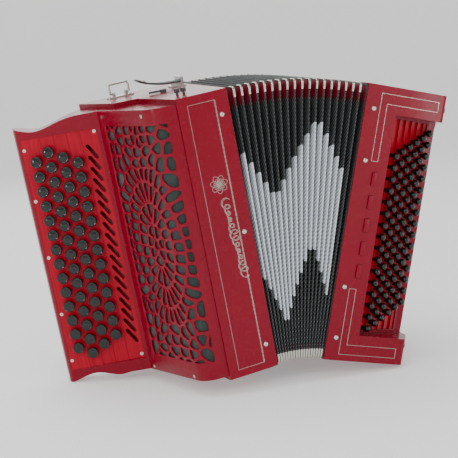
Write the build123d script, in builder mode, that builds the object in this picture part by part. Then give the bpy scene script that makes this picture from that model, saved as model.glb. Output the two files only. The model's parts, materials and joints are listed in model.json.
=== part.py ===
from build123d import *
import os
from math import atan2, cos, degrees, hypot, radians, sin

# Chromatic button accordion, built as its separate pieces, in millimetres.
# X runs along the bellows from the treble section (-X) to the bass section (+X),
# the audience side faces -Y and +Z is up. The bellows is fanned open at the top, so
# each section leans outwards and stands on its outer lower edge at z = 0.

# ---------------------------------------------------------------- driving dimensions
case_height = 360.0
case_depth = 190.0
fan_angle = 21.0            # from the treble face to the bass face, bellows fanned open
fold_count = 18
fold_pitch = 3.4            # one fold when the bellows is shut
fold_thickness = 3.0
fold_depth = 22.0           # from the outer edge of a fold to its inner edge
fold_inset = 1.0            # the folds stand back from the sections' outer faces
frame_width = 6.5           # visible width of the bellows end frame, treble side
frame_wall = 14.0
wall = 6.0
lid = 8.0                   # top and bottom boards of a section
edge_round = 1.0

panel_width = 66.0          # treble front panel, from the bellows to the grille
back_width = 136.0          # treble case at the back
shelf_inner = (-82.0, 6.0)  # the case's outline steps out towards the keyboard
shelf_outer = (-112.0, 12.0)
cover_drop = 6.0            # the grille and keyboard stand this far inside the lids

key_root = (-133.0, 22.0)   # where the keyboard board meets the grille
key_angle = 24.25           # the board turns back by this much from the front
key_width = 109.0
key_thickness = 24.0        # at the outer edge of the keyboard
key_foot = (-232.7, 4.8)    # the keyboard's lower outer corner, which stands on the ground
strip_pocket = 5.0
strip_bottom, strip_top = 22.0, 334.0
strip_edges = (104.0, 79.3, 61.9, 44.5, 27.1, 5.0)   # from the outer edge to the grille
strip_step = 0.5

button_pitch = 19.4
button_counts = (14, 15, 14, 13)
button_rows = (88.0, 70.6, 53.2, 35.8)
button_middle = 178.6
button_diameter = 15.0
button_height = 5.0
button_rise = 4.5           # underside of a cap above its strip
stem_diameter = 5.0
stem_length = 16.0
button_travel = 3.5

slot_count = 18
slot_first, slot_pitch = 304.4, 14.7
slot_length, slot_width, slot_tilt = 23.0, 4.5, 58.0

bass_width = 138.0
bass_frame_width = 8.5
bass_panel_width = 46.0
bass_corner = (116.0, -58.0)    # the arms' front corner is cut back between these
arm_height = 35.0
board_angle = 24.5
board_start = -79.6
board_length = 91.0
board_thickness = 6.0
board_step = 2.5
bass_rows, bass_columns = 6, 16
bass_row_start, bass_row_pitch = 16.0, 13.5
bass_pitch, bass_slant, bass_first = 15.35, 7.2, 272.8
bass_button_diameter = 9.6
bass_button_height = 7.5
bass_button_rise = 5.5
register_count, register_pitch, register_middle = 5, 30.2, 179.2
register_place = 29.6
register_size = (7.5, 18.0)
register_rise, register_root = 2.2, 2.0
register_pocket = 4.0       # deep enough for the root and its travel
press_gap = 0.3             # round a register in its pocket
knob_places = [(-50.0, -58.0), (-42.0, -60.0)]
knob_stem = 1.6
air_place = (-22.0, 322.0)  # y and z on the bass end face
air_stem = 2.5

pin_head = 7.0
pin_rise = 2.0
screw_head = 4.6
screw_rise = 0.9

# the origin lies on the ground under the middle of the whole instrument
middle_x, middle_y = -2.6, 6.4

half_depth = case_depth / 2
os.makedirs("parts", exist_ok=True)


# ---------------------------------------------------------------- frames
def turned(angle, x, z):
    """A step (x, z) turned by angle about +Y, tops going towards +X."""
    return x * cos(angle) + z * sin(angle), z * cos(angle) - x * sin(angle)


def leaning_frame(angle, x, z):
    """A section's own axes, with its origin at the foot of its bellows face."""
    return Plane(
        origin=(x - middle_x, -middle_y, z),
        x_dir=(cos(angle), 0, -sin(angle)),
        z_dir=(sin(angle), 0, cos(angle)),
    )


def bellows_chain(lean, fan=radians(fan_angle)):
    """Angle and foot of each fold and of the bass face, from the treble face at (0, 0)."""
    turn = fan / (fold_count + 1)
    angle, x, z = -lean, 0.0, 0.0
    places = []
    hinges = []
    for _ in range(fold_count + 1):
        dx, dz = turned(angle, fold_pitch / 2, 0)
        x, z = x + dx, z + dz
        hinges.append((x, z))
        angle += turn
        dx, dz = turned(angle, fold_pitch / 2, 0)
        x, z = x + dx, z + dz
        places.append((angle, x, z))
    return places, hinges


def corner_heights(lean):
    """Heights of the two lower outer corners above the treble face's foot."""
    _, treble_corner = turned(-lean, *key_foot)
    angle, _, z = bellows_chain(lean)[0][-1]
    _, bass_corner_z = turned(angle, bass_width, 0)
    return treble_corner, z + bass_corner_z


low, high = radians(5.0), radians(12.0)
for _ in range(40):
    treble_lean = (low + high) / 2
    treble_corner, bass_corner_z = corner_heights(treble_lean)
    if treble_corner > bass_corner_z:
        low = treble_lean
    else:
        high = treble_lean
ground = -min(corner_heights(treble_lean))

fold_places, fold_hinges = bellows_chain(treble_lean)
TREBLE = leaning_frame(-treble_lean, 0.0, ground)
FOLDS = [leaning_frame(angle, x, z + ground) for angle, x, z in fold_places[:-1]]
BASS = leaning_frame(fold_places[-1][0], fold_places[-1][1], fold_places[-1][2] + ground)


def on(frame, plane):
    """A plane given in a section's own axes, placed in the instrument."""
    return Plane(frame.location * plane.location)


def finish(builder, label):
    """Name a finished piece and write it to its own file."""
    builder.part.label = label
    export_step(builder.part, f"parts/{label}.step")


# ---------------------------------------------------------------- treble outlines
key_along = (-cos(radians(key_angle)), sin(radians(key_angle)))
key_normal = (-sin(radians(key_angle)), -cos(radians(key_angle)))


def key_point(along, out=0.0):
    """Plan position on the keyboard: along it from the grille, and out of its face."""
    return (
        key_root[0] + along * key_along[0] + out * key_normal[0],
        key_root[1] + along * key_along[1] + out * key_normal[1],
    )


def key_plane(out=0.0):
    """Face of the keyboard: x runs along it from the grille, y is up."""
    x, y = key_point(0.0, out)
    return on(TREBLE, Plane(origin=(x, y, 0), x_dir=(*key_along, 0), z_dir=(-key_normal[0], -key_normal[1], 0)))


case_outline = [
    (-frame_width, -half_depth),
    (-panel_width, -half_depth),
    shelf_inner,
    shelf_outer,
    (-back_width, half_depth),
    (-frame_width, half_depth),
]
case_inside = [
    (-frame_width - 1, -half_depth + wall),
    (-panel_width + 5, -half_depth + wall),
    (shelf_inner[0] + 6, shelf_inner[1] + 4),
    (shelf_outer[0] + 4, shelf_outer[1] + 8),
    (-back_width + 8, half_depth - wall),
    (-frame_width - 1, half_depth - wall),
]

# ---------------------------------------------------------------- treble case
with BuildPart() as treble_case:
    with BuildSketch(TREBLE) as case_plan:
        Polygon(*case_outline, align=None)
        fillet(case_plan.vertices().sort_by(Axis.Y)[-2:], edge_round)
    extrude(amount=case_height)
    with BuildSketch(TREBLE.offset(lid)):
        Polygon(*case_inside, align=None)
    extrude(amount=case_height - 2 * lid, mode=Mode.SUBTRACT)
    # the mouth towards the bellows
    mouth = Plane(origin=(-frame_width, 0, case_height / 2), x_dir=(0, 1, 0), z_dir=(1, 0, 0))
    with BuildSketch(on(TREBLE, mouth)):
        Rectangle(case_depth - 2 * wall, case_height - 2 * lid)
    extrude(amount=-4, mode=Mode.SUBTRACT)
    # the window behind the grille, where the sound leaves
    window = Plane(origin=(-74, -44, case_height / 2), x_dir=(0, 1, 0), z_dir=(-1, 0, 0))
    with BuildSketch(on(TREBLE, window)):
        RectangleRounded(64, case_height - 90, 8)
    extrude(amount=14, both=True, mode=Mode.SUBTRACT)
    # holes for the tone knobs' stems
    with BuildSketch(TREBLE.offset(case_height)):
        with Locations(*knob_places):
            Circle(knob_stem + 0.5)
    extrude(amount=-wall, mode=Mode.SUBTRACT)
finish(treble_case, "treble_case")


def end_frame(frame, start, width):
    """Rectangular bellows frame, start to start + width along a section's axis."""
    face = Plane(origin=(start, 0, case_height / 2), x_dir=(0, 1, 0), z_dir=(1, 0, 0))
    with BuildPart() as ring:
        with BuildSketch(on(frame, face)):
            RectangleRounded(case_depth, case_height, edge_round)
            Rectangle(case_depth - 2 * frame_wall, case_height - 2 * frame_wall, mode=Mode.SUBTRACT)
        extrude(amount=width)
    return ring


treble_frame = end_frame(TREBLE, -frame_width, frame_width)
finish(treble_frame, "treble_frame")

# ---------------------------------------------------------------- grille and its cloth
cover_wall = 2.5
cover_height = case_height - 2 * cover_drop
cover_corner = (-97.5, -92.0)
cover_round = 26.0
cover_front = (-panel_width - 0.24, -half_depth + 1.5)
slope_length = hypot(key_root[0] - cover_corner[0], key_root[1] - cover_corner[1])
slope_along = ((cover_corner[0] - key_root[0]) / slope_length, (cover_corner[1] - key_root[1]) / slope_length)
slope_outward = (slope_along[1], -slope_along[0])
cloth_gap = 3.0
cloth_thickness = 0.8


def slope_plane(out=0.0):
    """Face of the grille: x runs along it from the keyboard, y is up, z goes outwards."""
    x = key_root[0] + out * slope_outward[0]
    y = key_root[1] + out * slope_outward[1]
    return on(TREBLE, Plane(origin=(x, y, 0), x_dir=(*slope_along, 0), z_dir=(*slope_outward, 0)))


with BuildPart() as treble_grille:
    with BuildSketch(TREBLE.offset(cover_drop)) as cover_plan:
        Polygon(key_root, cover_corner, cover_front, shelf_inner, shelf_outer, align=None)
        fillet(cover_plan.vertices().sort_by_distance((*cover_corner, 0))[0], cover_round)
    extrude(amount=cover_height)
    with BuildSketch(TREBLE.offset(cover_drop + cover_wall)) as cover_hollow:
        Polygon((-129.5, 22), (-95.6, -88.5), (-60, -88.5), (-74, 12), (-108, 22), align=None)
        fillet(cover_hollow.vertices().sort_by_distance((-95.6, -88.5, 0))[0], cover_round - cover_wall)
    extrude(amount=cover_height - 2 * cover_wall, mode=Mode.SUBTRACT)
    # sound slots through the sloping face
    with BuildSketch(slope_plane(2)):
        with Locations((slope_length * 0.42, case_height / 2)):
            with GridLocations(13, 48, 5, 6):
                SlotOverall(40, 7, rotation=90)
    extrude(amount=-8, mode=Mode.SUBTRACT)
finish(treble_grille, "treble_grille")

with BuildPart() as grille_cloth:
    with BuildSketch(slope_plane(-cover_wall - cloth_gap)):
        with Locations((slope_length * 0.44, case_height / 2)):
            Rectangle(slope_length * 0.72, cover_height - 24)
    extrude(amount=-cloth_thickness)
finish(grille_cloth, "grille_cloth")

# ---------------------------------------------------------------- keyboard
key_cavity = 16.0
scallop_top = [(24.0, 354.0), (60.0, 347.8), (86.0, 342.8), (108.0, 348.6), (118.0, 351.5)]
scallop_bottom = [(118.0, 5.4), (106.0, 4.8), (73.0, 12.4), (40.0, 4.6), (24.0, 6.0)]

key_back = 88.0             # where the keyboard's back meets the side of the case
side_slope = (shelf_outer[0] + back_width) / (half_depth - shelf_outer[1])
side_at_back = shelf_outer[0] - side_slope * (key_back - shelf_outer[1])

with BuildPart() as keyboard_body:
    with BuildSketch(TREBLE) as key_plan:
        Polygon(
            key_root,
            key_point(key_width),
            (-231.0, 66.0 + key_thickness - 3.0),
            (side_at_back, key_back),
            shelf_outer,
            align=None,
        )
        fillet(key_plan.vertices().sort_by(Axis.X)[:2], 8.5)
    extrude(amount=case_height)
    with BuildSketch(key_plane(30)):
        with BuildLine():
            Polyline((118.0, scallop_bottom[0][1]), (118.0, scallop_top[-1][1]))
            Spline(*reversed(scallop_top), tangents=[(-1, -0.25), (-1, 0)])
            Polyline((24.0, 354.0), (-40.0, 354.0), (-40.0, 6.0), (24.0, 6.0))
            Spline(*reversed(scallop_bottom), tangents=[(1, 0), (1, 0.1)])
        make_face()
    extrude(amount=160, mode=Mode.INTERSECT)
    with BuildSketch(key_plane()):
        with Locations(((strip_edges[0] + strip_edges[-1]) / 2, (strip_top + strip_bottom) / 2)):
            Rectangle(strip_edges[0] - strip_edges[-1], strip_top - strip_bottom)
    extrude(amount=strip_pocket, mode=Mode.SUBTRACT)
    with BuildSketch(key_plane()):
        with Locations(((strip_edges[0] + strip_edges[-1]) / 2, (strip_top + strip_bottom) / 2)):
            Rectangle(strip_edges[0] - strip_edges[-1] - 12, strip_top - strip_bottom - 12)
    extrude(amount=strip_pocket + key_cavity, mode=Mode.SUBTRACT)
finish(keyboard_body, "keyboard_body")


def row_heights(count):
    """Heights of the buttons in one row, spread about the middle of the board."""
    return [button_middle + button_pitch * ((count - 1) / 2 - i) for i in range(count)]


with BuildPart() as finger_strips:
    for row in range(4):
        left, right = strip_edges[row], strip_edges[row + 1]
        with BuildSketch(key_plane(-strip_step * row)):
            with Locations(((left + right) / 2, (strip_top + strip_bottom) / 2)):
                Rectangle(left - right - 0.1, strip_top - strip_bottom)
            with Locations(*[(button_rows[row], z) for z in row_heights(button_counts[row])]):
                Circle(stem_diameter / 2 + 0.8, mode=Mode.SUBTRACT)
        extrude(amount=strip_pocket - strip_step * row)
finish(finger_strips, "finger_strips")

with BuildPart() as slot_strip:
    with BuildSketch(key_plane(-strip_step * 4)):
        with Locations(((strip_edges[4] + strip_edges[5]) / 2, (strip_top + strip_bottom) / 2)):
            Rectangle(strip_edges[4] - strip_edges[5] - 0.1, strip_top - strip_bottom)
        with Locations(*[(16.2, slot_first - slot_pitch * i) for i in range(slot_count)]):
            SlotOverall(slot_length, slot_width, rotation=slot_tilt, mode=Mode.SUBTRACT)
    extrude(amount=strip_pocket - strip_step * 4)
finish(slot_strip, "slot_strip")


def round_buttons(plane, outward, places, diameter, height, edge):
    """A row of capped buttons on stems; the plane is at the caps' undersides.

    outward is 1 where the plane's z points out of the board, and -1 where it points in.
    """
    with BuildPart() as row:
        with BuildSketch(plane):
            with Locations(*places):
                Circle(diameter / 2)
        extrude(amount=outward * height)
        out = Axis(plane.origin, plane.z_dir * outward)
        fillet(row.edges().filter_by(GeomType.CIRCLE).group_by(out)[-1], edge)
        with BuildSketch(plane):
            with Locations(*places):
                Circle(stem_diameter / 2)
        extrude(amount=-outward * stem_length)
    return row


for row in range(4):
    places = [(button_rows[row], z) for z in row_heights(button_counts[row])]
    plane = key_plane(button_rise - strip_step * row)
    buttons = round_buttons(plane, -1, places, button_diameter, button_height, 1.4)
    finish(buttons, f"treble_buttons_row_{row + 1}")

# ---------------------------------------------------------------- inside the treble case
board_place = -34.0
board_plate = 6.0
reed_block_reach = 24.0
reed_block_lines = (-51.0, -17.0, 17.0, 51.0)

with BuildPart() as treble_soundboard:
    with BuildSketch(on(TREBLE, Plane(origin=(board_place, 0, case_height / 2), x_dir=(0, 1, 0), z_dir=(1, 0, 0)))):
        Rectangle(case_depth - 2 * wall, case_height - 2 * lid)
        with GridLocations(34, 19.4, 4, 14):
            Rectangle(12, 9, mode=Mode.SUBTRACT)
    extrude(amount=board_plate)
finish(treble_soundboard, "treble_soundboard")


def reed_blocks(frame, start, length, lines, height):
    """Upright reed blocks with a row of reed windows through each."""
    with BuildPart() as blocks:
        for line in lines:
            with BuildSketch(on(frame, Plane(origin=(start, line, case_height / 2), x_dir=(0, 1, 0), z_dir=(1, 0, 0)))):
                Rectangle(20, height)
            extrude(amount=length)
        windows = Plane(origin=(start + length / 2, 0, case_height / 2), x_dir=(1, 0, 0), z_dir=(0, -1, 0))
        with BuildSketch(on(frame, windows)):
            with GridLocations(1, 19.4, 1, int(height / 19.4)):
                Rectangle(abs(length) - 16, 12)
        extrude(amount=half_depth, both=True, mode=Mode.SUBTRACT)
    return blocks


treble_reed_blocks = reed_blocks(
    TREBLE, board_place + board_plate, reed_block_reach - board_place - board_plate, reed_block_lines, 256
)
finish(treble_reed_blocks, "treble_reed_blocks")

with BuildPart() as treble_action:
    # one pallet and lever for each button, on two upright axles
    with BuildSketch(on(TREBLE, Plane(origin=(board_place, 0, case_height / 2), x_dir=(0, 1, 0), z_dir=(-1, 0, 0)))):
        with GridLocations(34, 19.4, 4, 14):
            Rectangle(16, 13)
    extrude(amount=4)
    with BuildSketch(on(TREBLE, Plane(origin=(board_place - 4, 0, case_height / 2), x_dir=(0, 1, 0), z_dir=(-1, 0, 0)))):
        with GridLocations(34, 19.4, 4, 14):
            Rectangle(3, 8)
    extrude(amount=7)
    for line in reed_block_lines:
        with BuildSketch(on(TREBLE, Plane(origin=(board_place - 8.5, line, lid)))):
            Circle(1.5)
        extrude(amount=case_height - 2 * lid)
finish(treble_action, "treble_action")

# ---------------------------------------------------------------- screws and pins
board_screws = [(101.5, 321.0), (101.5, 254.0), (101.5, 178.0), (101.5, 100.0), (101.5, 35.0)]
slope_screws = [(10.0, 346.7), (97.0, 346.7), (10.0, 11.0), (97.0, 11.0)]

with BuildPart() as treble_screws:
    for plane, rise, places in (
        (key_plane(0), -screw_rise, board_screws),
        (key_plane(-strip_step * 4), -screw_rise, [(8.6, 330.0), (8.6, 28.0)]),
        (slope_plane(), screw_rise, slope_screws),
    ):
        with BuildSketch(plane):
            with Locations(*places):
                Circle(screw_head / 2)
        extrude(amount=rise)
finish(treble_screws, "treble_screws")


def bellows_pins(frame, place, heights):
    """Domed pins that hold a section to its bellows frame, front and back."""
    with BuildPart() as pins:
        for y, out in ((-half_depth, -1), (half_depth, 1)):
            with BuildSketch(on(frame, Plane(origin=(0, y, 0), x_dir=(1, 0, 0), z_dir=(0, out, 0)))):
                with Locations(*[(place, -out * z) for z in heights]):
                    Circle(pin_head / 2)
            extrude(amount=pin_rise, taper=25)
    return pins


treble_pins = bellows_pins(TREBLE, -11.0, (329.6, 181.0, 32.0))
finish(treble_pins, "treble_pins")
bass_pins = bellows_pins(BASS, 13.0, (329.0, 262.0, 97.0, 30.0))
finish(bass_pins, "bass_pins")

# ---------------------------------------------------------------- fittings on the treble lid
bail_middle = (-84.0, 72.0)
bail_width, bail_rise, bail_wire = 26.0, 13.0, 3.0
bail_pivot = 5.0            # height of the bail's pin above the lid
top = TREBLE.offset(case_height)

with BuildPart() as bail_plate:
    with BuildSketch(top):
        with Locations(bail_middle):
            RectangleRounded(36, 12, 2)
    extrude(amount=1.6)
    with BuildSketch(on(TREBLE, Plane(origin=(bail_middle[0] - 10, bail_middle[1], case_height), x_dir=(0, 1, 0), z_dir=(1, 0, 0)))):
        with Locations((0, bail_pivot)):
            Circle(3.4)
        with Locations((0, bail_pivot / 2)):
            Rectangle(6.8, bail_pivot)
        with Locations((0, bail_pivot)):
            Circle(bail_wire / 2 + 0.15, mode=Mode.SUBTRACT)
    extrude(amount=20)
    with BuildSketch(on(TREBLE, Plane(origin=(bail_middle[0] - 7, bail_middle[1], case_height + 1.6), x_dir=(0, 1, 0), z_dir=(1, 0, 0)))):
        with Locations((0, 6)):
            Rectangle(10, 12)
    extrude(amount=14, mode=Mode.SUBTRACT)
    with BuildSketch(top.offset(1.6)):
        with Locations((bail_middle[0] - 14.5, bail_middle[1]), (bail_middle[0] + 14.5, bail_middle[1])):
            Circle(2.2)
    extrude(amount=0.9)
finish(bail_plate, "bail_plate")

with BuildPart() as shoulder_bail:
    half = bail_width / 2
    with BuildLine(on(TREBLE, Plane(origin=(bail_middle[0], bail_middle[1], case_height + bail_pivot), x_dir=(1, 0, 0), z_dir=(0, -1, 0)))) as bail_path:
        FilletPolyline(
            (-6.5, 0), (-half, 0), (-half, bail_rise), (half, bail_rise), (half, 0), (6.5, 0), radius=2.6
        )
    with BuildSketch(Plane(origin=bail_path.wires()[0] @ 0, z_dir=bail_path.wires()[0] % 0)):
        Circle(bail_wire / 2)
    sweep()
finish(shoulder_bail, "shoulder_bail")

tab_start = (-14.0, 40.0)   # where the bellows strap is held, near the treble frame
tab_length, tab_width, tab_thickness = 56.0, 22.0, 3.0

with BuildPart() as strap_bracket:
    with BuildSketch(top):
        with Locations((tab_start[0] - 1, tab_start[1])):
            RectangleRounded(18, 26, 2)
    extrude(amount=1.6)
    with BuildSketch(top.offset(1.6)):
        with Locations((tab_start[0] + 3, tab_start[1])):
            Rectangle(4, 24)
    extrude(amount=11)
    with BuildSketch(top.offset(1.6)):
        with Locations((tab_start[0] - 2, tab_start[1])):
            Rectangle(6, 24)
    extrude(amount=4)
finish(strap_bracket, "strap_bracket")

with BuildPart() as bellows_strap:
    side = Plane(origin=(tab_start[0], tab_start[1], case_height + 5.6), x_dir=(-1, 0, 0), z_dir=(0, 1, 0))
    with BuildSketch(on(TREBLE, side)):
        with BuildLine():
            Spline((-1, 0.1), (16, 0.3), (40, 5), (tab_length, 13), tangents=[(1, 0), (1, 0.25)])
            Line((tab_length, 13), (tab_length - 1, 13 + tab_thickness))
            Spline(
                (tab_length - 1, 13 + tab_thickness),
                (39, 5 + tab_thickness),
                (16, tab_thickness + 0.3),
                (-1, tab_thickness + 0.1),
                tangents=[(-1, -0.25), (-1, 0)],
            )
            Line((-1, tab_thickness + 0.1), (-1, 0.1))
        make_face()
    extrude(amount=tab_width / 2, both=True)
finish(bellows_strap, "bellows_strap")

lever_pivot = (-46.0, 6.0)
with BuildPart() as tone_lever:
    with BuildSketch(top.offset(0.3)):
        with Locations(lever_pivot):
            Circle(4)
    extrude(amount=4)
    with BuildSketch(top.offset(1.2)):
        with Locations((lever_pivot[0] - 8, lever_pivot[1] + 4)):
            SlotOverall(20, 3.6, rotation=-26)
    extrude(amount=2.4)
finish(tone_lever, "tone_lever")

with BuildPart() as tone_knobs:
    with BuildSketch(top.offset(3.4)):
        with Locations(*knob_places):
            Circle(3.4)
    extrude(amount=5)
    fillet(tone_knobs.edges().filter_by(GeomType.CIRCLE).group_by(Axis(top.origin, top.z_dir))[-1], 1.0)
    with BuildSketch(top.offset(0.3)):
        with Locations(*knob_places):
            Circle(knob_stem)
    extrude(amount=3.2)
finish(tone_knobs, "tone_knobs")

# lugs on the back of the treble case for the lower ends of the shoulder straps
lug_place = (-110.0, 40.0)
lug_bore = 3.5
with BuildPart() as strap_lugs:
    back = Plane(origin=(lug_place[0], half_depth, lug_place[1]), x_dir=(1, 0, 0), z_dir=(0, 1, 0))
    with BuildSketch(on(TREBLE, back)):
        RectangleRounded(16, 30, 2)
    extrude(amount=1.6)
    ear = Plane(origin=(lug_place[0] - 1.5, half_depth, lug_place[1]), x_dir=(0, 1, 0), z_dir=(1, 0, 0))
    with BuildSketch(on(TREBLE, ear)):
        with Locations((8, 0)):
            Circle(7)
        with Locations((4, 0)):
            Rectangle(8, 14)
        with Locations((8, 0)):
            Circle(lug_bore, mode=Mode.SUBTRACT)
    extrude(amount=3)
finish(strap_lugs, "strap_lugs")

# ---------------------------------------------------------------- bellows
for number, frame in enumerate(FOLDS, start=1):
    middle = Plane(origin=(-fold_thickness / 2, 0, case_height / 2), x_dir=(0, 1, 0), z_dir=(1, 0, 0))
    outer_depth = case_depth - 2 * fold_inset
    outer_height = case_height - 2 * fold_inset
    with BuildPart() as fold:
        with BuildSketch(on(frame, middle)):
            RectangleRounded(outer_depth, outer_height, 4)
            Rectangle(outer_depth - 2 * fold_depth, outer_height - 2 * fold_depth, mode=Mode.SUBTRACT)
        extrude(amount=fold_thickness)
    finish(fold, f"bellows_fold_{number:02d}")

# ---------------------------------------------------------------- bass case
board_along = (cos(radians(board_angle)), sin(radians(board_angle)))
board_normal = (sin(radians(board_angle)), -cos(radians(board_angle)))


def board_point(along, out=0.0):
    """Plan position on the bass button board: along it from the front panel, and out."""
    return (
        bass_panel_width + along * board_along[0] + out * board_normal[0],
        board_start + along * board_along[1] + out * board_normal[1],
    )


def board_plane(out=0.0):
    """Face of the bass board: x runs along it from the front panel, y up, z outwards."""
    return on(BASS, Plane(origin=(*board_point(0, out), 0), x_dir=(*board_along, 0), z_dir=(*board_normal, 0)))


bass_outline = [
    (bass_frame_width, -half_depth),
    (bass_corner[0], -half_depth),
    (bass_width, bass_corner[1]),
    (bass_width, half_depth),
    (bass_frame_width, half_depth),
]

register_face = on(BASS, Plane(origin=(0, -half_depth, 0), x_dir=(1, 0, 0), z_dir=(0, -1, 0)))
register_places = [
    (register_place, register_middle + register_pitch * ((register_count - 1) / 2 - i)) for i in range(register_count)
]

with BuildPart() as bass_case:
    with BuildSketch(BASS) as bass_plan:
        Polygon(*bass_outline, align=None)
        fillet(bass_plan.vertices().sort_by(Axis.X)[-3:-2], 6)
        fillet(bass_plan.vertices().sort_by(Axis.X)[-1:], 12)
    extrude(amount=case_height)
    # the recess for the buttons, between the two arms
    with BuildSketch(BASS.offset(arm_height)):
        Polygon(
            (bass_panel_width, -half_depth - 2),
            board_point(0),
            board_point(board_length),
            (bass_width + 2, board_point(board_length)[1]),
            (bass_width + 2, -half_depth - 2),
            align=None,
        )
    extrude(amount=case_height - 2 * arm_height, mode=Mode.SUBTRACT)
    # seat of the button board
    with BuildSketch(board_plane()):
        with Locations((board_length / 2, case_height / 2)):
            Rectangle(board_length - 8, case_height - 2 * arm_height - 8)
    extrude(amount=-board_thickness - 1, mode=Mode.SUBTRACT)
    # window behind it for the stems
    with BuildSketch(board_plane()):
        with Locations((board_length / 2, case_height / 2)):
            Rectangle(board_length - 9, case_height - 2 * arm_height - 9)
    extrude(amount=-board_thickness - 16, mode=Mode.SUBTRACT)
    with BuildSketch(BASS.offset(lid)):
        Polygon(
            (bass_frame_width - 1, -half_depth + wall),
            (bass_panel_width - wall, -half_depth + wall),
            (bass_panel_width - wall, board_point(0, -wall)[1] + 4),
            (bass_width - wall - 2, board_point(board_length, -wall)[1] + 4),
            (bass_width - wall - 2, half_depth - wall),
            (bass_frame_width - 1, half_depth - wall),
            align=None,
        )
    extrude(amount=case_height - 2 * lid, mode=Mode.SUBTRACT)
    # pockets for the registers and a hole for the air button's stem
    with BuildSketch(register_face):
        with Locations(*register_places):
            RectangleRounded(register_size[0] + 2 * press_gap, register_size[1] + 2 * press_gap, 2.1)
    extrude(amount=-register_pocket, mode=Mode.SUBTRACT)
    with BuildSketch(on(BASS, Plane(origin=(bass_width, 0, 0), x_dir=(0, 1, 0), z_dir=(1, 0, 0)))):
        with Locations(air_place):
            Circle(air_stem + 0.5)
    extrude(amount=-wall, mode=Mode.SUBTRACT)
finish(bass_case, "bass_case")

bass_frame = end_frame(BASS, 0, bass_frame_width)
finish(bass_frame, "bass_frame")


def bass_row_places(row):
    """Positions of one bass row on the board, from the top down."""
    along = bass_row_start + bass_row_pitch * row
    return [(along, bass_first + bass_slant * row - bass_pitch * i) for i in range(bass_columns)]


with BuildPart() as bass_button_board:
    steps = [board_point(4.3, -board_thickness)]
    for row in range(bass_rows):
        along = bass_row_start + bass_row_pitch * (row - 0.5)
        if row == 0:
            along = 4.3
        steps.append(board_point(along, board_step / 2))
        steps.append(board_point(bass_row_start + bass_row_pitch * (row + 0.5) - 3.6 * (row == bass_rows - 1), -board_step / 2))
    steps.append(board_point(board_length - 4.3, -board_thickness))
    with BuildSketch(BASS.offset(arm_height + 4.3)):
        Polygon(*steps, align=None)
    extrude(amount=case_height - 2 * arm_height - 8.6)
    with BuildSketch(board_plane(4)):
        for row in range(bass_rows):
            with Locations(*bass_row_places(row)):
                Circle(stem_diameter / 2 + 0.5)
    extrude(amount=-14, mode=Mode.SUBTRACT)
finish(bass_button_board, "bass_button_board")

for row in range(bass_rows):
    buttons = round_buttons(
        board_plane(bass_button_rise), 1, bass_row_places(row), bass_button_diameter, bass_button_height, 2.6
    )
    finish(buttons, f"bass_buttons_row_{row + 1}")

with BuildPart() as bass_registers:
    with BuildSketch(register_face.offset(-register_root)):
        with Locations(*register_places):
            RectangleRounded(*register_size, 1.8)
    extrude(amount=register_root + register_rise)
finish(bass_registers, "bass_registers")

with BuildPart() as bass_soundboard:
    with BuildSketch(on(BASS, Plane(origin=(16, 0, case_height / 2), x_dir=(0, 1, 0), z_dir=(1, 0, 0)))):
        Rectangle(case_depth - 2 * wall, case_height - 2 * lid)
        with GridLocations(34, 24, 4, 11):
            Rectangle(12, 10, mode=Mode.SUBTRACT)
    extrude(amount=6)
finish(bass_soundboard, "bass_soundboard")

bass_reed_blocks = reed_blocks(BASS, 16, -36, (-51.0, -17.0, 17.0, 51.0), 216)
finish(bass_reed_blocks, "bass_reed_blocks")

with BuildPart() as bass_action:
    # piston rods that carry each bass column across to its pallet
    with BuildSketch(on(BASS, Plane(origin=(24, 10, case_height / 2), x_dir=(0, 1, 0), z_dir=(1, 0, 0)))):
        with GridLocations(20, 15.35, 4, 16):
            Rectangle(3, 3)
    extrude(amount=70)
    with BuildSketch(on(BASS, Plane(origin=(22, 10, case_height / 2), x_dir=(0, 1, 0), z_dir=(1, 0, 0)))):
        with GridLocations(20, 15.35, 4, 16):
            Rectangle(14, 11)
    extrude(amount=3)
finish(bass_action, "bass_action")

foot_diameter, foot_rise = 17.0, 4.5
foot_places = [(-46.0, 18.0), (-46.0, 342.0), (80.0, 18.0), (80.0, 342.0)]
end_face = Plane(origin=(bass_width, 0, 0), x_dir=(0, 1, 0), z_dir=(1, 0, 0))
with BuildPart() as bass_feet:
    with BuildSketch(on(BASS, end_face)):
        with Locations(*foot_places):
            Circle(foot_diameter / 2)
    extrude(amount=foot_rise, taper=12)
finish(bass_feet, "bass_feet")

strap_front, strap_width, strap_thickness = -2.0, 62.0, 3.0
strap_low, strap_high, strap_bulge = 34.0, 326.0, 24.0
with BuildPart() as bass_strap:
    side = Plane(origin=(bass_width, strap_front + strap_width, 0), x_dir=(1, 0, 0), z_dir=(0, -1, 0))
    middle = (strap_low + strap_high) / 2
    with BuildSketch(on(BASS, side)):
        with BuildLine():
            ThreePointArc((0, strap_low), (strap_bulge, middle), (0, strap_high))
            Line((0, strap_high), (0, strap_high - 3 * strap_thickness))
            ThreePointArc(
                (0, strap_high - 3 * strap_thickness),
                (strap_bulge - strap_thickness, middle),
                (0, strap_low + 3 * strap_thickness),
            )
            Line((0, strap_low + 3 * strap_thickness), (0, strap_low))
        make_face()
    extrude(amount=strap_width)
finish(bass_strap, "bass_strap")

wheel_place = (112.0, 40.0)
wheel_diameter, wheel_height = 24.0, 5.5
with BuildPart() as strap_wheel:
    with BuildSketch(BASS.offset(case_height + 0.3)):
        with Locations(wheel_place):
            Circle(wheel_diameter / 2)
        with Locations(wheel_place):
            with PolarLocations(wheel_diameter / 2, 20):
                Circle(0.9, mode=Mode.SUBTRACT)
    extrude(amount=wheel_height)
finish(strap_wheel, "strap_wheel")

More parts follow.
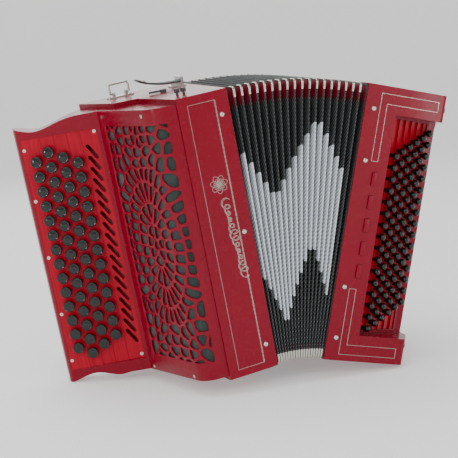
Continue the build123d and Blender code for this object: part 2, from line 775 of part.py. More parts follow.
with BuildPart() as air_button:
    with BuildSketch(on(BASS, Plane(origin=(bass_width + 4.5, 0, 0), x_dir=(0, 1, 0), z_dir=(1, 0, 0)))):
        with Locations(air_place):
            Circle(7)
    extrude(amount=5)
    fillet(air_button.edges().filter_by(GeomType.CIRCLE).group_by(Axis(BASS.origin, BASS.x_dir))[-1], 1.5)
    with BuildSketch(on(BASS, Plane(origin=(bass_width + 0.3, 0, 0), x_dir=(0, 1, 0), z_dir=(1, 0, 0)))):
        with Locations(air_place):
            Circle(air_stem)
    extrude(amount=4.3)
finish(air_button, "air_button")
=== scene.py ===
import json
from math import atan2, cos, hypot, radians, sin, tan, tau

import bmesh
import bpy
from mathutils import Matrix, Vector

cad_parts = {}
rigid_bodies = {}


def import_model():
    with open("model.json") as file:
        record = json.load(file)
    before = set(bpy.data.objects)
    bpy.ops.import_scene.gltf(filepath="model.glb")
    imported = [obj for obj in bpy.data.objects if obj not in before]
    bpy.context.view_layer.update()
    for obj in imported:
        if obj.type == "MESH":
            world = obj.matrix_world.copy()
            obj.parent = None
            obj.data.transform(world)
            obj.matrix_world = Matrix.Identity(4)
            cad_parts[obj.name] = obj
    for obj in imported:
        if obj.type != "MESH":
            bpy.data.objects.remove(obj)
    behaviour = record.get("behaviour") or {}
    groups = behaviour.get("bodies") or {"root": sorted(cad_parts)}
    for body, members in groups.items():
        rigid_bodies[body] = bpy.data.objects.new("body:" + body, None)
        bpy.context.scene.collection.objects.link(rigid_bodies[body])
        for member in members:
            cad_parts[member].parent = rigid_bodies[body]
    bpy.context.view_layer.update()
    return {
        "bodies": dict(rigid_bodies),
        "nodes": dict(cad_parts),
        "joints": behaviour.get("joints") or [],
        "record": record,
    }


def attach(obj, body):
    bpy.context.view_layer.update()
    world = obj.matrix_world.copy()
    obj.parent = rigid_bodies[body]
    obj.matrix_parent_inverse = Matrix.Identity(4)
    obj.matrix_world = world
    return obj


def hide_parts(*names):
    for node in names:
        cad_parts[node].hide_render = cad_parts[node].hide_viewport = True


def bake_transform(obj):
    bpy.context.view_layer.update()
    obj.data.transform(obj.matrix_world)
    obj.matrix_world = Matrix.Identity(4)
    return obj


bl_info = {
    "name": "Button Accordion",
    "version": (1, 0, 0),
    "blender": (4, 5, 0),
    "location": "3D View > Sidebar > Accordion",
    "description": "Builds the finishes and fine pieces of a chromatic button accordion on its frame",
    "category": "Object",
}

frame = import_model()
JOINTS = {joint["name"]: joint for joint in frame["joints"]}
SLOTS = {part["node"]: part["material_slot"] for part in frame["record"]["subparts"]}

# Sizes in millimetres, on each section's own axes: x along the bellows, y to the back, z up its lean
FOLDS = 18
FOLD_PITCH = 3.4
FAN = radians(21)
HALF_DEPTH = 95.0
HEIGHT = 360.0
RING_HALF = (94.0, 179.0)       # half depth and half height of a bellows fold
RING_ROUND = 4.0                # radius of a fold's corners
GUSSET_REACH = 17.0             # how far the corner leather runs along each side
PLEAT_TOP = 1.6                 # how far a pleat starts in from the edge of its fold
CARD_THICKNESS = 0.0004         # in metres
WHITE_TURN_FOLDS = 7            # folds between two turns of the white zigzag
WHITE_FROM = (48.0, 14.6)       # its lower edge: lowest height, and the step from fold to fold
WHITE_TO = (213.9, 14.0)        # the same for its upper edge
BAIL_PIVOT = (-84, 72, 365)
WHEEL_MIDDLE = (112, 40, 360)
KEY_ROOT = (-133.0, 22.0)
KEY_ANGLE = radians(24.25)
COVER_CORNER = (-97.5, -92.0)
COVER_FRONT = (-66.24, -93.5)
COVER_ROUND = 26.0
COVER_LOW, COVER_HIGH = 6.0, 354.0
ROSETTE_MIDDLE = (72, 182)      # on the cover: along it from the keyboard, and up
ROSETTE_REACH = (60, 98)
BASS_WIDTH = 138.0
BOARD_START = (46.0, -79.6)
BOARD_ANGLE = radians(24.5)
TREBLE_PITCH = 19.4
BASS_PITCH = 15.35
BASS_ROW_STEP = (13.5, 7.2)     # across the board and up it, from one row to the next
REGISTER_PITCH = 30.2
STRAP_HALF = 146
STRAP_BULGE = 24.0


# ---------------------------------------------------------------- places
def section(x_axis, point, local):
    """A section's own axes, given its x axis and one point known both ways."""
    x = Vector(x_axis).normalized()
    y = Vector((0, 1, 0))
    axes = Matrix((x, y, x.cross(y))).transposed().to_4x4() @ Matrix.Scale(0.001, 4)
    return Matrix.Translation(Vector(point) - axes @ Vector(local)) @ axes


BAIL_AXIS = JOINTS["bail_swing"]["axis"]
AIR_BUTTON_AXIS = Vector(JOINTS["air_button_press"]["axis"])
TREBLE = section(BAIL_AXIS, JOINTS["bail_swing"]["pos_m"], BAIL_PIVOT)
BASS = section(-AIR_BUTTON_AXIS, JOINTS["strap_wheel_turn"]["pos_m"], WHEEL_MIDDLE)
TREBLE_ANGLE = -atan2(BAIL_AXIS[2], BAIL_AXIS[0])
BASS_ANGLE = TREBLE_ANGLE + FAN


def fold_section(number):
    """Axes of one fold; 0 is the treble face and one past the last is the bass face."""
    if number == 0:
        return TREBLE
    if number > FOLDS:
        return BASS
    angle = TREBLE_ANGLE + FAN * number / (FOLDS + 1)
    x, _, z = JOINTS[f"fold_{number:02d}"]["pos_m"]
    return section((cos(angle), 0, -sin(angle)), (x, TREBLE.translation.y, z), (-FOLD_PITCH / 2, 0, 0))


def fold_body(number):
    """The body that carries one fold, or the section at either end."""
    return {0: "treble", FOLDS + 1: "bass"}.get(number, f"bellows_fold_{number:02d}")


def seat(axes, origin, x_dir, z_dir):
    """A face to model a piece on: x_dir along it, z_dir out of it."""
    x, z = Vector(x_dir).normalized(), Vector(z_dir).normalized()
    return axes @ Matrix.Translation(origin) @ Matrix((x, z.cross(x), z)).transposed().to_4x4()


KEYS = seat(TREBLE, (*KEY_ROOT, 0), (cos(KEY_ANGLE), -sin(KEY_ANGLE), 0), (-sin(KEY_ANGLE), -cos(KEY_ANGLE), 0))
BOARD = seat(
    BASS, (*BOARD_START, 0), (cos(BOARD_ANGLE), sin(BOARD_ANGLE), 0), (sin(BOARD_ANGLE), -cos(BOARD_ANGLE), 0)
)
TREBLE_PANEL, BASS_PANEL = (seat(axes, (0, -HALF_DEPTH, 0), (1, 0, 0), (0, -1, 0)) for axes in (TREBLE, BASS))
TREBLE_BACK, BASS_BACK = (seat(axes, (0, HALF_DEPTH, 0), (-1, 0, 0), (0, 1, 0)) for axes in (TREBLE, BASS))

# The grille cover in plan: a straight slope from the keyboard, a round corner and a straight front
SLOPE = Vector(COVER_CORNER) - Vector(KEY_ROOT)
SLOPE_ALONG = SLOPE.normalized()
SLOPE_OUT = Vector((SLOPE_ALONG.y, -SLOPE_ALONG.x))
FRONT = Vector(COVER_FRONT) - Vector(COVER_CORNER)
FRONT_ALONG = FRONT.normalized()
FRONT_OUT = Vector((FRONT_ALONG.y, -FRONT_ALONG.x))
COVER_BEND = SLOPE_ALONG.angle(FRONT_ALONG)
COVER_TANGENT = COVER_ROUND * tan(COVER_BEND / 2)
COVER_STRAIGHT = SLOPE.length - COVER_TANGENT
COVER_ARC = COVER_ROUND * COVER_BEND
COVER_WIDTH = COVER_STRAIGHT + COVER_ARC + FRONT.length - COVER_TANGENT


def cover_point(along, out):
    """Plan position on the grille cover, measured round its corner from the keyboard."""
    centre = Vector(KEY_ROOT) + SLOPE_ALONG * COVER_STRAIGHT - SLOPE_OUT * COVER_ROUND
    if along < COVER_STRAIGHT:
        return Vector(KEY_ROOT) + SLOPE_ALONG * along + SLOPE_OUT * out
    if along < COVER_STRAIGHT + COVER_ARC:
        turn = Matrix.Rotation((along - COVER_STRAIGHT) / COVER_ROUND, 2)
        return centre + turn @ SLOPE_OUT * (COVER_ROUND + out)
    return centre + FRONT_OUT * (COVER_ROUND + out) + FRONT_ALONG * (along - COVER_STRAIGHT - COVER_ARC)


# ---------------------------------------------------------------- making pieces
def add_object(name, data):
    """A new object in the scene."""
    added = bpy.data.objects.new(name, data)
    bpy.context.scene.collection.objects.link(added)
    return added


def new_piece(name, points, faces, edges=()):
    """An object from a plain cage, in its own axes."""
    mesh = bpy.data.meshes.new(name)
    mesh.from_pydata([tuple(p) for p in points], list(edges), list(faces))
    mesh.update()
    return add_object(name, mesh)


def settle(piece, *places):
    """Apply a piece's stack, then set one copy of it in each place."""
    bpy.context.view_layer.update()
    shape = bpy.data.meshes.new_from_object(piece.evaluated_get(bpy.context.evaluated_depsgraph_get()))
    gathered = bmesh.new()
    for place in places:
        copy = shape.copy()
        copy.transform(place)
        gathered.from_mesh(copy)
        bpy.data.meshes.remove(copy)
    name = piece.name
    bpy.data.objects.remove(piece)
    mesh = bpy.data.meshes.new(name)
    gathered.to_mesh(mesh)
    gathered.free()
    bpy.data.meshes.remove(shape)
    return add_object(name, mesh)


def tube_faces(rings, size, first=0, closed=False, capped=False):
    """Faces of a tube whose points come ring by ring; closed joins its last ring to its first."""
    faces = []
    for ring in range(rings if closed else rings - 1):
        here, after = first + ring * size, first + (ring + 1) % rings * size
        for i in range(size):
            j = (i + 1) % size
            faces.append((here + i, here + j, after + j, after + i))
    if capped:
        faces += [tuple(start + i for i in range(size)) for start in (first, first + (rings - 1) * size)]
    return faces


def face_outwards(piece, weld=1e-6):
    """Weld a closed shell and turn its faces outwards."""
    shell = bmesh.new()
    shell.from_mesh(piece.data)
    bmesh.ops.remove_doubles(shell, verts=shell.verts, dist=weld)
    bmesh.ops.recalc_face_normals(shell, faces=shell.faces)
    shell.to_mesh(piece.data)
    shell.free()


def dress(piece, slot, body=None, nodes=(), crease=35):
    """Give a settled piece its finish, its slot and the body that it rides on."""
    piece.data.materials.clear()
    piece.data.materials.append(finish_of(slot))
    piece.data.shade_smooth()
    piece.data.set_sharp_from_angle(angle=radians(crease))
    if body:
        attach(piece, body)
    if nodes:
        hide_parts(*nodes)
    return piece


def turned(name, profile, steps):
    """A turned shape from (radius, height) points that run from its top down."""
    piece = new_piece(name, [(r, 0, z) for r, z in profile], [], [(i, i + 1) for i in range(len(profile) - 1)])
    screw = piece.modifiers.new("Turn", "SCREW")
    screw.steps = screw.render_steps = steps
    screw.use_merge_vertices = True
    screw.merge_threshold = 0.01
    return piece


def wires(name, runs, thickness, closed=False, smooth=False):
    """Thin round wires that follow runs of points."""
    curve = bpy.data.curves.new(name, "CURVE")
    curve.dimensions = "3D"
    curve.bevel_depth = thickness / 2
    curve.bevel_resolution = 1
    curve.resolution_u = curve.render_resolution_u = 4
    curve.use_fill_caps = True
    for run in runs:
        spline = curve.splines.new("NURBS" if smooth else "POLY")
        spline.points.add(len(run) - 1)
        for point, place in zip(spline.points, run):
            point.co = (*place, 0, 1) if len(place) == 2 else (*place, 1)
        spline.use_cyclic_u = closed
        if smooth:
            spline.order_u = 4
            spline.use_endpoint_u = not closed
    return add_object(name, curve)


def slab(name, size, edge, low=0.0):
    """A block with rounded edges, lying on its seat."""
    x, y, z = size[0] / 2, size[1] / 2, size[2]
    points = [(sx * x, sy * y, h) for h in (low, z) for sx, sy in ((-1, -1), (1, -1), (1, 1), (-1, 1))]
    piece = new_piece(name, points, [(3, 2, 1, 0), (4, 5, 6, 7)] + tube_faces(2, 4))
    bevel = piece.modifiers.new("Rounded edges", "BEVEL")
    bevel.width = edge
    bevel.segments = 3
    return piece


# ---------------------------------------------------------------- finishes
def start_material(name):
    """A new node material with only its output, which it returns with the nodes and links."""
    material = bpy.data.materials.new(name)
    material.use_nodes = True
    nodes = material.node_tree.nodes
    nodes.clear()
    output = nodes.new("ShaderNodeOutputMaterial")
    output.label = "Surface"
    output.location = (900, 0)
    return material, nodes, material.node_tree.links, output


def lay_out(row, height=0, frame=None):
    """Set nodes side by side, in one frame."""
    for column, node in enumerate(row):
        node.location = (column * 200 - 700, height)
        node.parent = frame


def lacquer(name, colour, deep, gloss):
    """Polished lacquer with a slight flow in its colour and gloss."""
    material, nodes, links, output = start_material(name)
    pigment = nodes.new("NodeFrame")
    pigment.label = "Pigment"
    surface = nodes.new("NodeFrame")
    surface.label = "Polish"
    place = nodes.new("ShaderNodeTexCoord")
    place.label = "Place on the instrument"
    cloud = nodes.new("ShaderNodeTexNoise")
    cloud.label = "Cloud in the pigment"
    cloud.inputs["Scale"].default_value = 9
    cloud.inputs["Detail"].default_value = 4
    mix = nodes.new("ShaderNodeMix")
    mix.label = "Thin and thick coats"
    mix.data_type = "RGBA"
    mix.inputs["A"].default_value = (*colour, 1)
    mix.inputs["B"].default_value = (*deep, 1)
    smear = nodes.new("ShaderNodeTexNoise")
    smear.label = "Polishing smears"
    smear.inputs["Scale"].default_value = 60
    smear.inputs["Detail"].default_value = 3
    spread = nodes.new("ShaderNodeMapRange")
    spread.label = "Gloss from dull to bright"
    spread.inputs["To Min"].default_value = gloss
    spread.inputs["To Max"].default_value = gloss + 0.1
    peel = nodes.new("ShaderNodeTexNoise")
    peel.label = "Flow of the lacquer"
    peel.inputs["Scale"].default_value = 320
    bump = nodes.new("ShaderNodeBump")
    bump.label = "Slight orange peel"
    bump.inputs["Strength"].default_value = 0.05
    bump.inputs["Distance"].default_value = 0.0004
    shader = nodes.new("ShaderNodeBsdfPrincipled")
    shader.label = "Lacquer"
    shader.inputs["Coat Weight"].default_value = 0.12
    shader.inputs["Coat Roughness"].default_value = 0.09
    shader.inputs["Specular IOR Level"].default_value = 0.14
    lay_out((cloud, mix), 200, pigment)
    lay_out((smear, spread, peel, bump), -200, surface)
    place.location, shader.location = (-950, 0), (650, 0)
    links.new(place.outputs["Object"], cloud.inputs["Vector"])
    links.new(place.outputs["Object"], smear.inputs["Vector"])
    links.new(place.outputs["Object"], peel.inputs["Vector"])
    links.new(cloud.outputs["Fac"], mix.inputs["Factor"])
    links.new(mix.outputs["Result"], shader.inputs["Base Color"])
    links.new(smear.outputs["Fac"], spread.inputs["Value"])
    links.new(spread.outputs["Result"], shader.inputs["Roughness"])
    links.new(peel.outputs["Fac"], bump.inputs["Height"])
    links.new(bump.outputs["Normal"], shader.inputs["Normal"])
    links.new(shader.outputs["BSDF"], output.inputs["Surface"])
    return material


def grained_wood(name, colour, dark, lean, roughness):
    """Wood with its grain along a section's height."""
    material, nodes, links, output = start_material(name)
    grain = nodes.new("NodeFrame")
    grain.label = "Grain"
    place = nodes.new("ShaderNodeTexCoord")
    place.label = "Place on the instrument"
    turn = nodes.new("ShaderNodeMapping")
    turn.label = "Grain runs up the section"
    turn.vector_type = "TEXTURE"
    turn.inputs["Rotation"].default_value = (0, lean, 0)
    turn.inputs["Scale"].default_value = (0.004, 0.004, 0.11)
    fibre = nodes.new("ShaderNodeTexNoise")
    fibre.label = "Fibres"
    fibre.inputs["Scale"].default_value = 1.6
    fibre.inputs["Detail"].default_value = 6
    fibre.inputs["Roughness"].default_value = 0.62
    ramp = nodes.new("ShaderNodeValToRGB")
    ramp.label = "Early and late wood"
    ramp.color_ramp.elements[0].position = 0.33
    ramp.color_ramp.elements[0].color = (*dark, 1)
    ramp.color_ramp.elements[1].position = 0.66
    ramp.color_ramp.elements[1].color = (*colour, 1)
    bump = nodes.new("ShaderNodeBump")
    bump.label = "Open pores"
    bump.inputs["Strength"].default_value = 0.25
    bump.inputs["Distance"].default_value = 0.0003
    shader = nodes.new("ShaderNodeBsdfPrincipled")
    shader.label = "Stained wood"
    shader.inputs["Coat Weight"].default_value = 0.03
    shader.inputs["Roughness"].default_value = roughness
    shader.inputs["Specular IOR Level"].default_value = 0.12
    lay_out((turn, fibre, ramp, bump), 0, grain)
    place.location, shader.location = (-950, 0), (650, 0)
    links.new(place.outputs["Object"], turn.inputs["Vector"])
    links.new(turn.outputs["Vector"], fibre.inputs["Vector"])
    links.new(fibre.outputs["Fac"], ramp.inputs["Fac"])
    links.new(ramp.outputs["Color"], shader.inputs["Base Color"])
    links.new(fibre.outputs["Fac"], bump.inputs["Height"])
    links.new(bump.outputs["Normal"], shader.inputs["Normal"])
    links.new(shader.outputs["BSDF"], output.inputs["Surface"])
    return material


def smooth_stuff(name, colour, other, metallic, roughness, spread_by, size, depth, specular=0.3):
    """Metal, plastic or rubber: a cloudy gloss, fine unevenness and a slight shift of colour."""
    material, nodes, links, output = start_material(name)
    wear = nodes.new("NodeFrame")
    wear.label = "Handling"
    place = nodes.new("ShaderNodeTexCoord")
    place.label = "Place on the instrument"
    cloud = nodes.new("ShaderNodeTexNoise")
    cloud.label = "Smudges"
    cloud.inputs["Scale"].default_value = 45
    cloud.inputs["Detail"].default_value = 5
    fine = nodes.new("ShaderNodeTexNoise")
    fine.label = "Fine unevenness"
    fine.inputs["Scale"].default_value = size
    fine.inputs["Detail"].default_value = 3
    mix = nodes.new("ShaderNodeMix")
    mix.label = "Shift of colour"
    mix.data_type = "RGBA"
    mix.inputs["A"].default_value = (*colour, 1)
    mix.inputs["B"].default_value = (*other, 1)
    gloss = nodes.new("ShaderNodeMapRange")
    gloss.label = "Gloss"
    gloss.inputs["To Min"].default_value = roughness
    gloss.inputs["To Max"].default_value = roughness + spread_by
    bump = nodes.new("ShaderNodeBump")
    bump.label = "Relief"
    bump.inputs["Strength"].default_value = depth
    bump.inputs["Distance"].default_value = 0.0003
    shader = nodes.new("ShaderNodeBsdfPrincipled")
    shader.label = "Body of the material"
    shader.inputs["Specular IOR Level"].default_value = specular
    shader.inputs["Metallic"].default_value = metallic
    lay_out((cloud, fine, mix, gloss, bump), 0, wear)
    place.location, shader.location = (-950, 0), (650, 0)
    links.new(place.outputs["Object"], cloud.inputs["Vector"])
    links.new(place.outputs["Object"], fine.inputs["Vector"])
    links.new(cloud.outputs["Fac"], mix.inputs["Factor"])
    links.new(cloud.outputs["Fac"], gloss.inputs["Value"])
    links.new(fine.outputs["Fac"], bump.inputs["Height"])
    links.new(mix.outputs["Result"], shader.inputs["Base Color"])
    links.new(gloss.outputs["Result"], shader.inputs["Roughness"])
    links.new(bump.outputs["Normal"], shader.inputs["Normal"])
    links.new(shader.outputs["BSDF"], output.inputs["Surface"])
    return material


def leather(name, colour, pale):
    """Pebbled leather with paler high spots."""
    material, nodes, links, output = start_material(name)
    hide = nodes.new("NodeFrame")
    hide.label = "Hide"
    place = nodes.new("ShaderNodeTexCoord")
    place.label = "Place on the instrument"
    pebble = nodes.new("ShaderNodeTexVoronoi")
    pebble.label = "Pebbles"
    pebble.inputs["Scale"].default_value = 900
    crease = nodes.new("ShaderNodeTexNoise")
    crease.label = "Soft creases"
    crease.inputs["Scale"].default_value = 90
    crease.inputs["Detail"].default_value = 5
    height = nodes.new("ShaderNodeMath")
    height.label = "Pebbles over creases"
    height.operation = "ADD"
    ramp = nodes.new("ShaderNodeValToRGB")
    ramp.label = "Dye"
    ramp.color_ramp.elements[0].position = 0.35
    ramp.color_ramp.elements[0].color = (*colour, 1)
    ramp.color_ramp.elements[1].position = 0.8
    ramp.color_ramp.elements[1].color = (*pale, 1)
    bump = nodes.new("ShaderNodeBump")
    bump.label = "Grain relief"
    bump.inputs["Strength"].default_value = 0.5
    bump.inputs["Distance"].default_value = 0.0004
    shader = nodes.new("ShaderNodeBsdfPrincipled")
    shader.label = "Leather"
    shader.inputs["Roughness"].default_value = 0.48
    lay_out((pebble, crease, height, ramp, bump), 0, hide)
    place.location, shader.location = (-950, 0), (650, 0)
    links.new(place.outputs["Object"], pebble.inputs["Vector"])
    links.new(place.outputs["Object"], crease.inputs["Vector"])
    links.new(pebble.outputs["Distance"], height.inputs[0])
    links.new(crease.outputs["Fac"], height.inputs[1])
    links.new(crease.outputs["Fac"], ramp.inputs["Fac"])
    links.new(height.outputs["Value"], bump.inputs["Height"])
    links.new(ramp.outputs["Color"], shader.inputs["Base Color"])
    links.new(bump.outputs["Normal"], shader.inputs["Normal"])
    links.new(shader.outputs["BSDF"], output.inputs["Surface"])
    return material


def grille_weave(name, colour, thread):
    """Open woven cloth behind the grille, its threads along its own UV map."""
    material, nodes, links, output = start_material(name)
    weave = nodes.new("NodeFrame")
    weave.label = "Weave"
    place = nodes.new("ShaderNodeUVMap")
    place.label = "Warp and weft"
    place.uv_map = "Weave"
    warp = nodes.new("ShaderNodeTexWave")
    warp.label = "Warp threads"
    warp.bands_direction = "X"
    weft = nodes.new("ShaderNodeTexWave")
    weft.label = "Weft threads"
    weft.bands_direction = "Y"
    for wave in (warp, weft):
        wave.inputs["Scale"].default_value = 0.32
        wave.inputs["Distortion"].default_value = 0.6
    cross = nodes.new("ShaderNodeMath")
    cross.label = "Over and under"
    cross.operation = "MULTIPLY"
    mix = nodes.new("ShaderNodeMix")
    mix.label = "Thread colour"
    mix.data_type = "RGBA"
    mix.inputs["A"].default_value = (*colour, 1)
    mix.inputs["B"].default_value = (*thread, 1)
    bump = nodes.new("ShaderNodeBump")
    bump.label = "Thread relief"
    bump.inputs["Distance"].default_value = 0.0004
    shader = nodes.new("ShaderNodeBsdfPrincipled")
    shader.label = "Cloth"
    shader.inputs["Roughness"].default_value = 0.85
    shader.inputs["Sheen Weight"].default_value = 0.25
    lay_out((warp, weft, cross, mix, bump), 0, weave)
    place.location, shader.location = (-950, 0), (650, 0)
    links.new(place.outputs["UV"], warp.inputs["Vector"])
    links.new(place.outputs["UV"], weft.inputs["Vector"])
    links.new(warp.outputs["Fac"], cross.inputs[0])
    links.new(weft.outputs["Fac"], cross.inputs[1])
    links.new(cross.outputs["Value"], mix.inputs["Factor"])
    links.new(cross.outputs["Value"], bump.inputs["Height"])
    links.new(mix.outputs["Result"], shader.inputs["Base Color"])
    links.new(bump.outputs["Normal"], shader.inputs["Normal"])
    links.new(shader.outputs["BSDF"], output.inputs["Surface"])
    return material


def bellows_tape(name, black, cord, white, shade, gusset):
    """Corded tape over each fold, black or white by height, with leather at the corners.

    It reads tape_place (across, along, height) and tape_span (white from, white to,
    corner) from the mesh, all in millimetres.
    """
    material, nodes, links, output = start_material(name)
    pattern = nodes.new("NodeFrame")
    pattern.label = "Corded pattern"
    zones = nodes.new("NodeFrame")
    zones.label = "Black and white zones"
    corner = nodes.new("NodeFrame")
    corner.label = "Leather corners and plain card"
    place = nodes.new("ShaderNodeAttribute")
    place.label = "Across, along and height"
    place.attribute_name = "tape_place"
    span = nodes.new("ShaderNodeAttribute")
    span.label = "White from, white to, corner"
    span.attribute_name = "tape_span"
    at = nodes.new("ShaderNodeSeparateXYZ")
    at.label = "Place on the tape"
    over = nodes.new("ShaderNodeSeparateXYZ")
    over.label = "Zones"
    slant = nodes.new("ShaderNodeMath")
    slant.label = "Slant of the cord"
    slant.operation = "MULTIPLY_ADD"
    slant.inputs[1].default_value = 0.75
    turns = nodes.new("ShaderNodeMath")
    turns.label = "Turns of the cord"
    turns.operation = "MULTIPLY"
    turns.inputs[1].default_value = tau / 5.2
    twist = nodes.new("ShaderNodeMath")
    twist.label = "Twist"
    twist.operation = "SINE"
    strand = nodes.new("ShaderNodeMapRange")
    strand.label = "Bright strand"
    strand.inputs["From Min"].default_value = 0.35
    strand.inputs["From Max"].default_value = 0.8
    width = nodes.new("ShaderNodeMath")
    width.label = "Distance from the ridge"
    width.operation = "ABSOLUTE"
    taped = nodes.new("ShaderNodeMath")
    taped.label = "On the tape"
    taped.operation = "LESS_THAN"
    taped.inputs[1].default_value = 8.5
    above = nodes.new("ShaderNodeMath")
    above.label = "Above the lower step"
    above.operation = "GREATER_THAN"
    below = nodes.new("ShaderNodeMath")
    below.label = "Below the upper step"
    below.operation = "LESS_THAN"
    both = nodes.new("ShaderNodeMath")
    both.label = "White part"
    both.operation = "MULTIPLY"
    black_tape = nodes.new("ShaderNodeMix")
    black_tape.label = "Black tape"
    white_tape = nodes.new("ShaderNodeMix")
    white_tape.label = "White tape"
    tape = nodes.new("ShaderNodeMix")
    tape.label = "Black or white"
    card = nodes.new("ShaderNodeMix")
    card.label = "Tape or card"
    finished = nodes.new("ShaderNodeMix")
    finished.label = "Corner leather"
    strong = nodes.new("ShaderNodeMath")
    strong.label = "At a corner"
    strong.operation = "GREATER_THAN"
    strong.inputs[1].default_value = 0.5
    bump = nodes.new("ShaderNodeBump")
    bump.label = "Raised cord"
    bump.inputs["Strength"].default_value = 0.6
    bump.inputs["Distance"].default_value = 0.0005
    shader = nodes.new("ShaderNodeBsdfPrincipled")
    shader.label = "Bellows cloth"
    shader.inputs["Specular IOR Level"].default_value = 0.25
    shader.inputs["Roughness"].default_value = 0.5
    for mix in (black_tape, white_tape, tape, card, finished):
        mix.data_type = "RGBA"
    black_tape.inputs["A"].default_value = (*black, 1)
    black_tape.inputs["B"].default_value = (*cord, 1)
    white_tape.inputs["A"].default_value = (*shade, 1)
    white_tape.inputs["B"].default_value = (*white, 1)
    card.inputs["A"].default_value = (*black, 1)
    finished.inputs["B"].default_value = (*gusset, 1)
    lay_out((at, slant, turns, twist, strand, bump), 300, pattern)
    lay_out((over, above, below, both, black_tape, white_tape, tape), 0, zones)
    lay_out((width, taped, card, strong, finished), -300, corner)
    place.location, span.location, shader.location = (-950, 200), (-950, -100), (700, 0)
    links.new(place.outputs["Vector"], at.inputs["Vector"])
    links.new(span.outputs["Vector"], over.inputs["Vector"])
    links.new(at.outputs["X"], slant.inputs[0])
    links.new(at.outputs["Y"], slant.inputs[2])
    links.new(slant.outputs["Value"], turns.inputs[0])
    links.new(turns.outputs["Value"], twist.inputs[0])
    links.new(twist.outputs["Value"], strand.inputs["Value"])
    links.new(at.outputs["X"], width.inputs[0])
    links.new(width.outputs["Value"], taped.inputs[0])
    links.new(at.outputs["Z"], above.inputs[0])
    links.new(over.outputs["X"], above.inputs[1])
    links.new(at.outputs["Z"], below.inputs[0])
    links.new(over.outputs["Y"], below.inputs[1])
    links.new(above.outputs["Value"], both.inputs[0])
    links.new(below.outputs["Value"], both.inputs[1])
    links.new(strand.outputs["Result"], black_tape.inputs["Factor"])
    links.new(strand.outputs["Result"], white_tape.inputs["Factor"])
    links.new(both.outputs["Value"], tape.inputs["Factor"])
    links.new(black_tape.outputs["Result"], tape.inputs["A"])
    links.new(white_tape.outputs["Result"], tape.inputs["B"])
    links.new(taped.outputs["Value"], card.inputs["Factor"])
    links.new(tape.outputs["Result"], card.inputs["B"])
    links.new(over.outputs["Z"], strong.inputs[0])
    links.new(strong.outputs["Value"], finished.inputs["Factor"])
    links.new(card.outputs["Result"], finished.inputs["A"])
    links.new(finished.outputs["Result"], shader.inputs["Base Color"])
    links.new(strand.outputs["Result"], bump.inputs["Height"])
    links.new(bump.outputs["Normal"], shader.inputs["Normal"])
    links.new(shader.outputs["BSDF"], output.inputs["Surface"])
    return material


FINISHES = {}


def finish_of(slot):
    """The finish of one material slot, made once."""
    if slot in FINISHES:
        return FINISHES[slot]
    look = bpy.context.scene.accordion_colours
    red, deep = tuple(look.lacquer), tuple(look.lacquer_deep)
    makers = {
        "red_lacquer": lambda: lacquer("Red lacquer", red, deep, 0.22),
        "red_wood": lambda: grained_wood(
            "Red stained wood", tuple(look.stain), tuple(look.stain_deep), TREBLE_ANGLE, 0.36
        ),
        "black_button": lambda: smooth_stuff(
            "Black button", (0.001, 0.003, 0.0025), (0.002, 0.006, 0.005), 0, 0.05, 0.05, 500, 0.02, 0.45
        ),
        "nickel": lambda: smooth_stuff("Nickel plate", (0.6, 0.58, 0.53), (0.42, 0.4, 0.36), 1, 0.16, 0.16, 700, 0.05),
        "leather_black": lambda: leather("Black leather", (0.012, 0.012, 0.013), (0.035, 0.034, 0.034)),
        "cloth_green": lambda: grille_weave("Grille cloth", (0.012, 0.028, 0.026), (0.045, 0.075, 0.068)),
        "bellows_card": lambda: bellows_tape(
            "Bellows tape", (0.003, 0.0035, 0.004), (0.11, 0.125, 0.125), (0.86, 0.88, 0.9), (0.4, 0.44, 0.48), deep
        ),
        "spruce": lambda: grained_wood("Spruce", (0.62, 0.45, 0.27), (0.42, 0.27, 0.13), TREBLE_ANGLE, 0.6),
        "rubber_black": lambda: smooth_stuff(
            "Rubber", (0.012, 0.012, 0.012), (0.025, 0.024, 0.023), 0, 0.6, 0.2, 300, 0.3
        ),
        "steel_dark": lambda: smooth_stuff("Dark steel", (0.05, 0.05, 0.052), (0.1, 0.1, 0.1), 1, 0.28, 0.2, 400, 0.1),
        "aluminium": lambda: smooth_stuff("Aluminium", (0.7, 0.7, 0.71), (0.55, 0.55, 0.56), 1, 0.3, 0.15, 400, 0.1),
    }
    FINISHES[slot] = makers[slot]()
    return FINISHES[slot]


class AccordionSizes(bpy.types.PropertyGroup):
    """Sizes of the fine pieces."""

    pleat_depth: bpy.props.FloatProperty(
        name="Pleat depth", description="Depth of the valley between two folds, in millimetres",
        default=20.0, unit="NONE",
    )
    clip_length: bpy.props.FloatProperty(
        name="Clip length", description="Length of a corner clip along each side, in millimetres",
        default=13.0, unit="NONE",
    )
    fret_bar: bpy.props.FloatProperty(
        name="Fretwork bar", description="Width of the bars between the holes of the grille, in millimetres",
        default=3.0, unit="NONE",
    )
    inlay_width: bpy.props.FloatProperty(
        name="Inlay width", description="Width of the silver lines, in millimetres", default=0.9, unit="NONE"
    )


class AccordionColours(bpy.types.PropertyGroup):
    """Colours of the finishes."""

    lacquer: bpy.props.FloatVectorProperty(
        name="Lacquer", description="Red of the cases", default=(0.22, 0.0003, 0.013), subtype="COLOR", unit="NONE"
    )
    lacquer_deep: bpy.props.FloatVectorProperty(
        name="Deep lacquer", description="Red where the lacquer lies thick",
        default=(0.165, 0.0003, 0.01), subtype="COLOR", unit="NONE",
    )
    stain: bpy.props.FloatVectorProperty(
        name="Stain", description="Red of the stained wood", default=(0.4, 0.002, 0.018), subtype="COLOR", unit="NONE"
    )
    stain_deep: bpy.props.FloatVectorProperty(
        name="Deep stain", description="Red of the dark grain",
        default=(0.27, 0.0015, 0.012), subtype="COLOR", unit="NONE",
    )


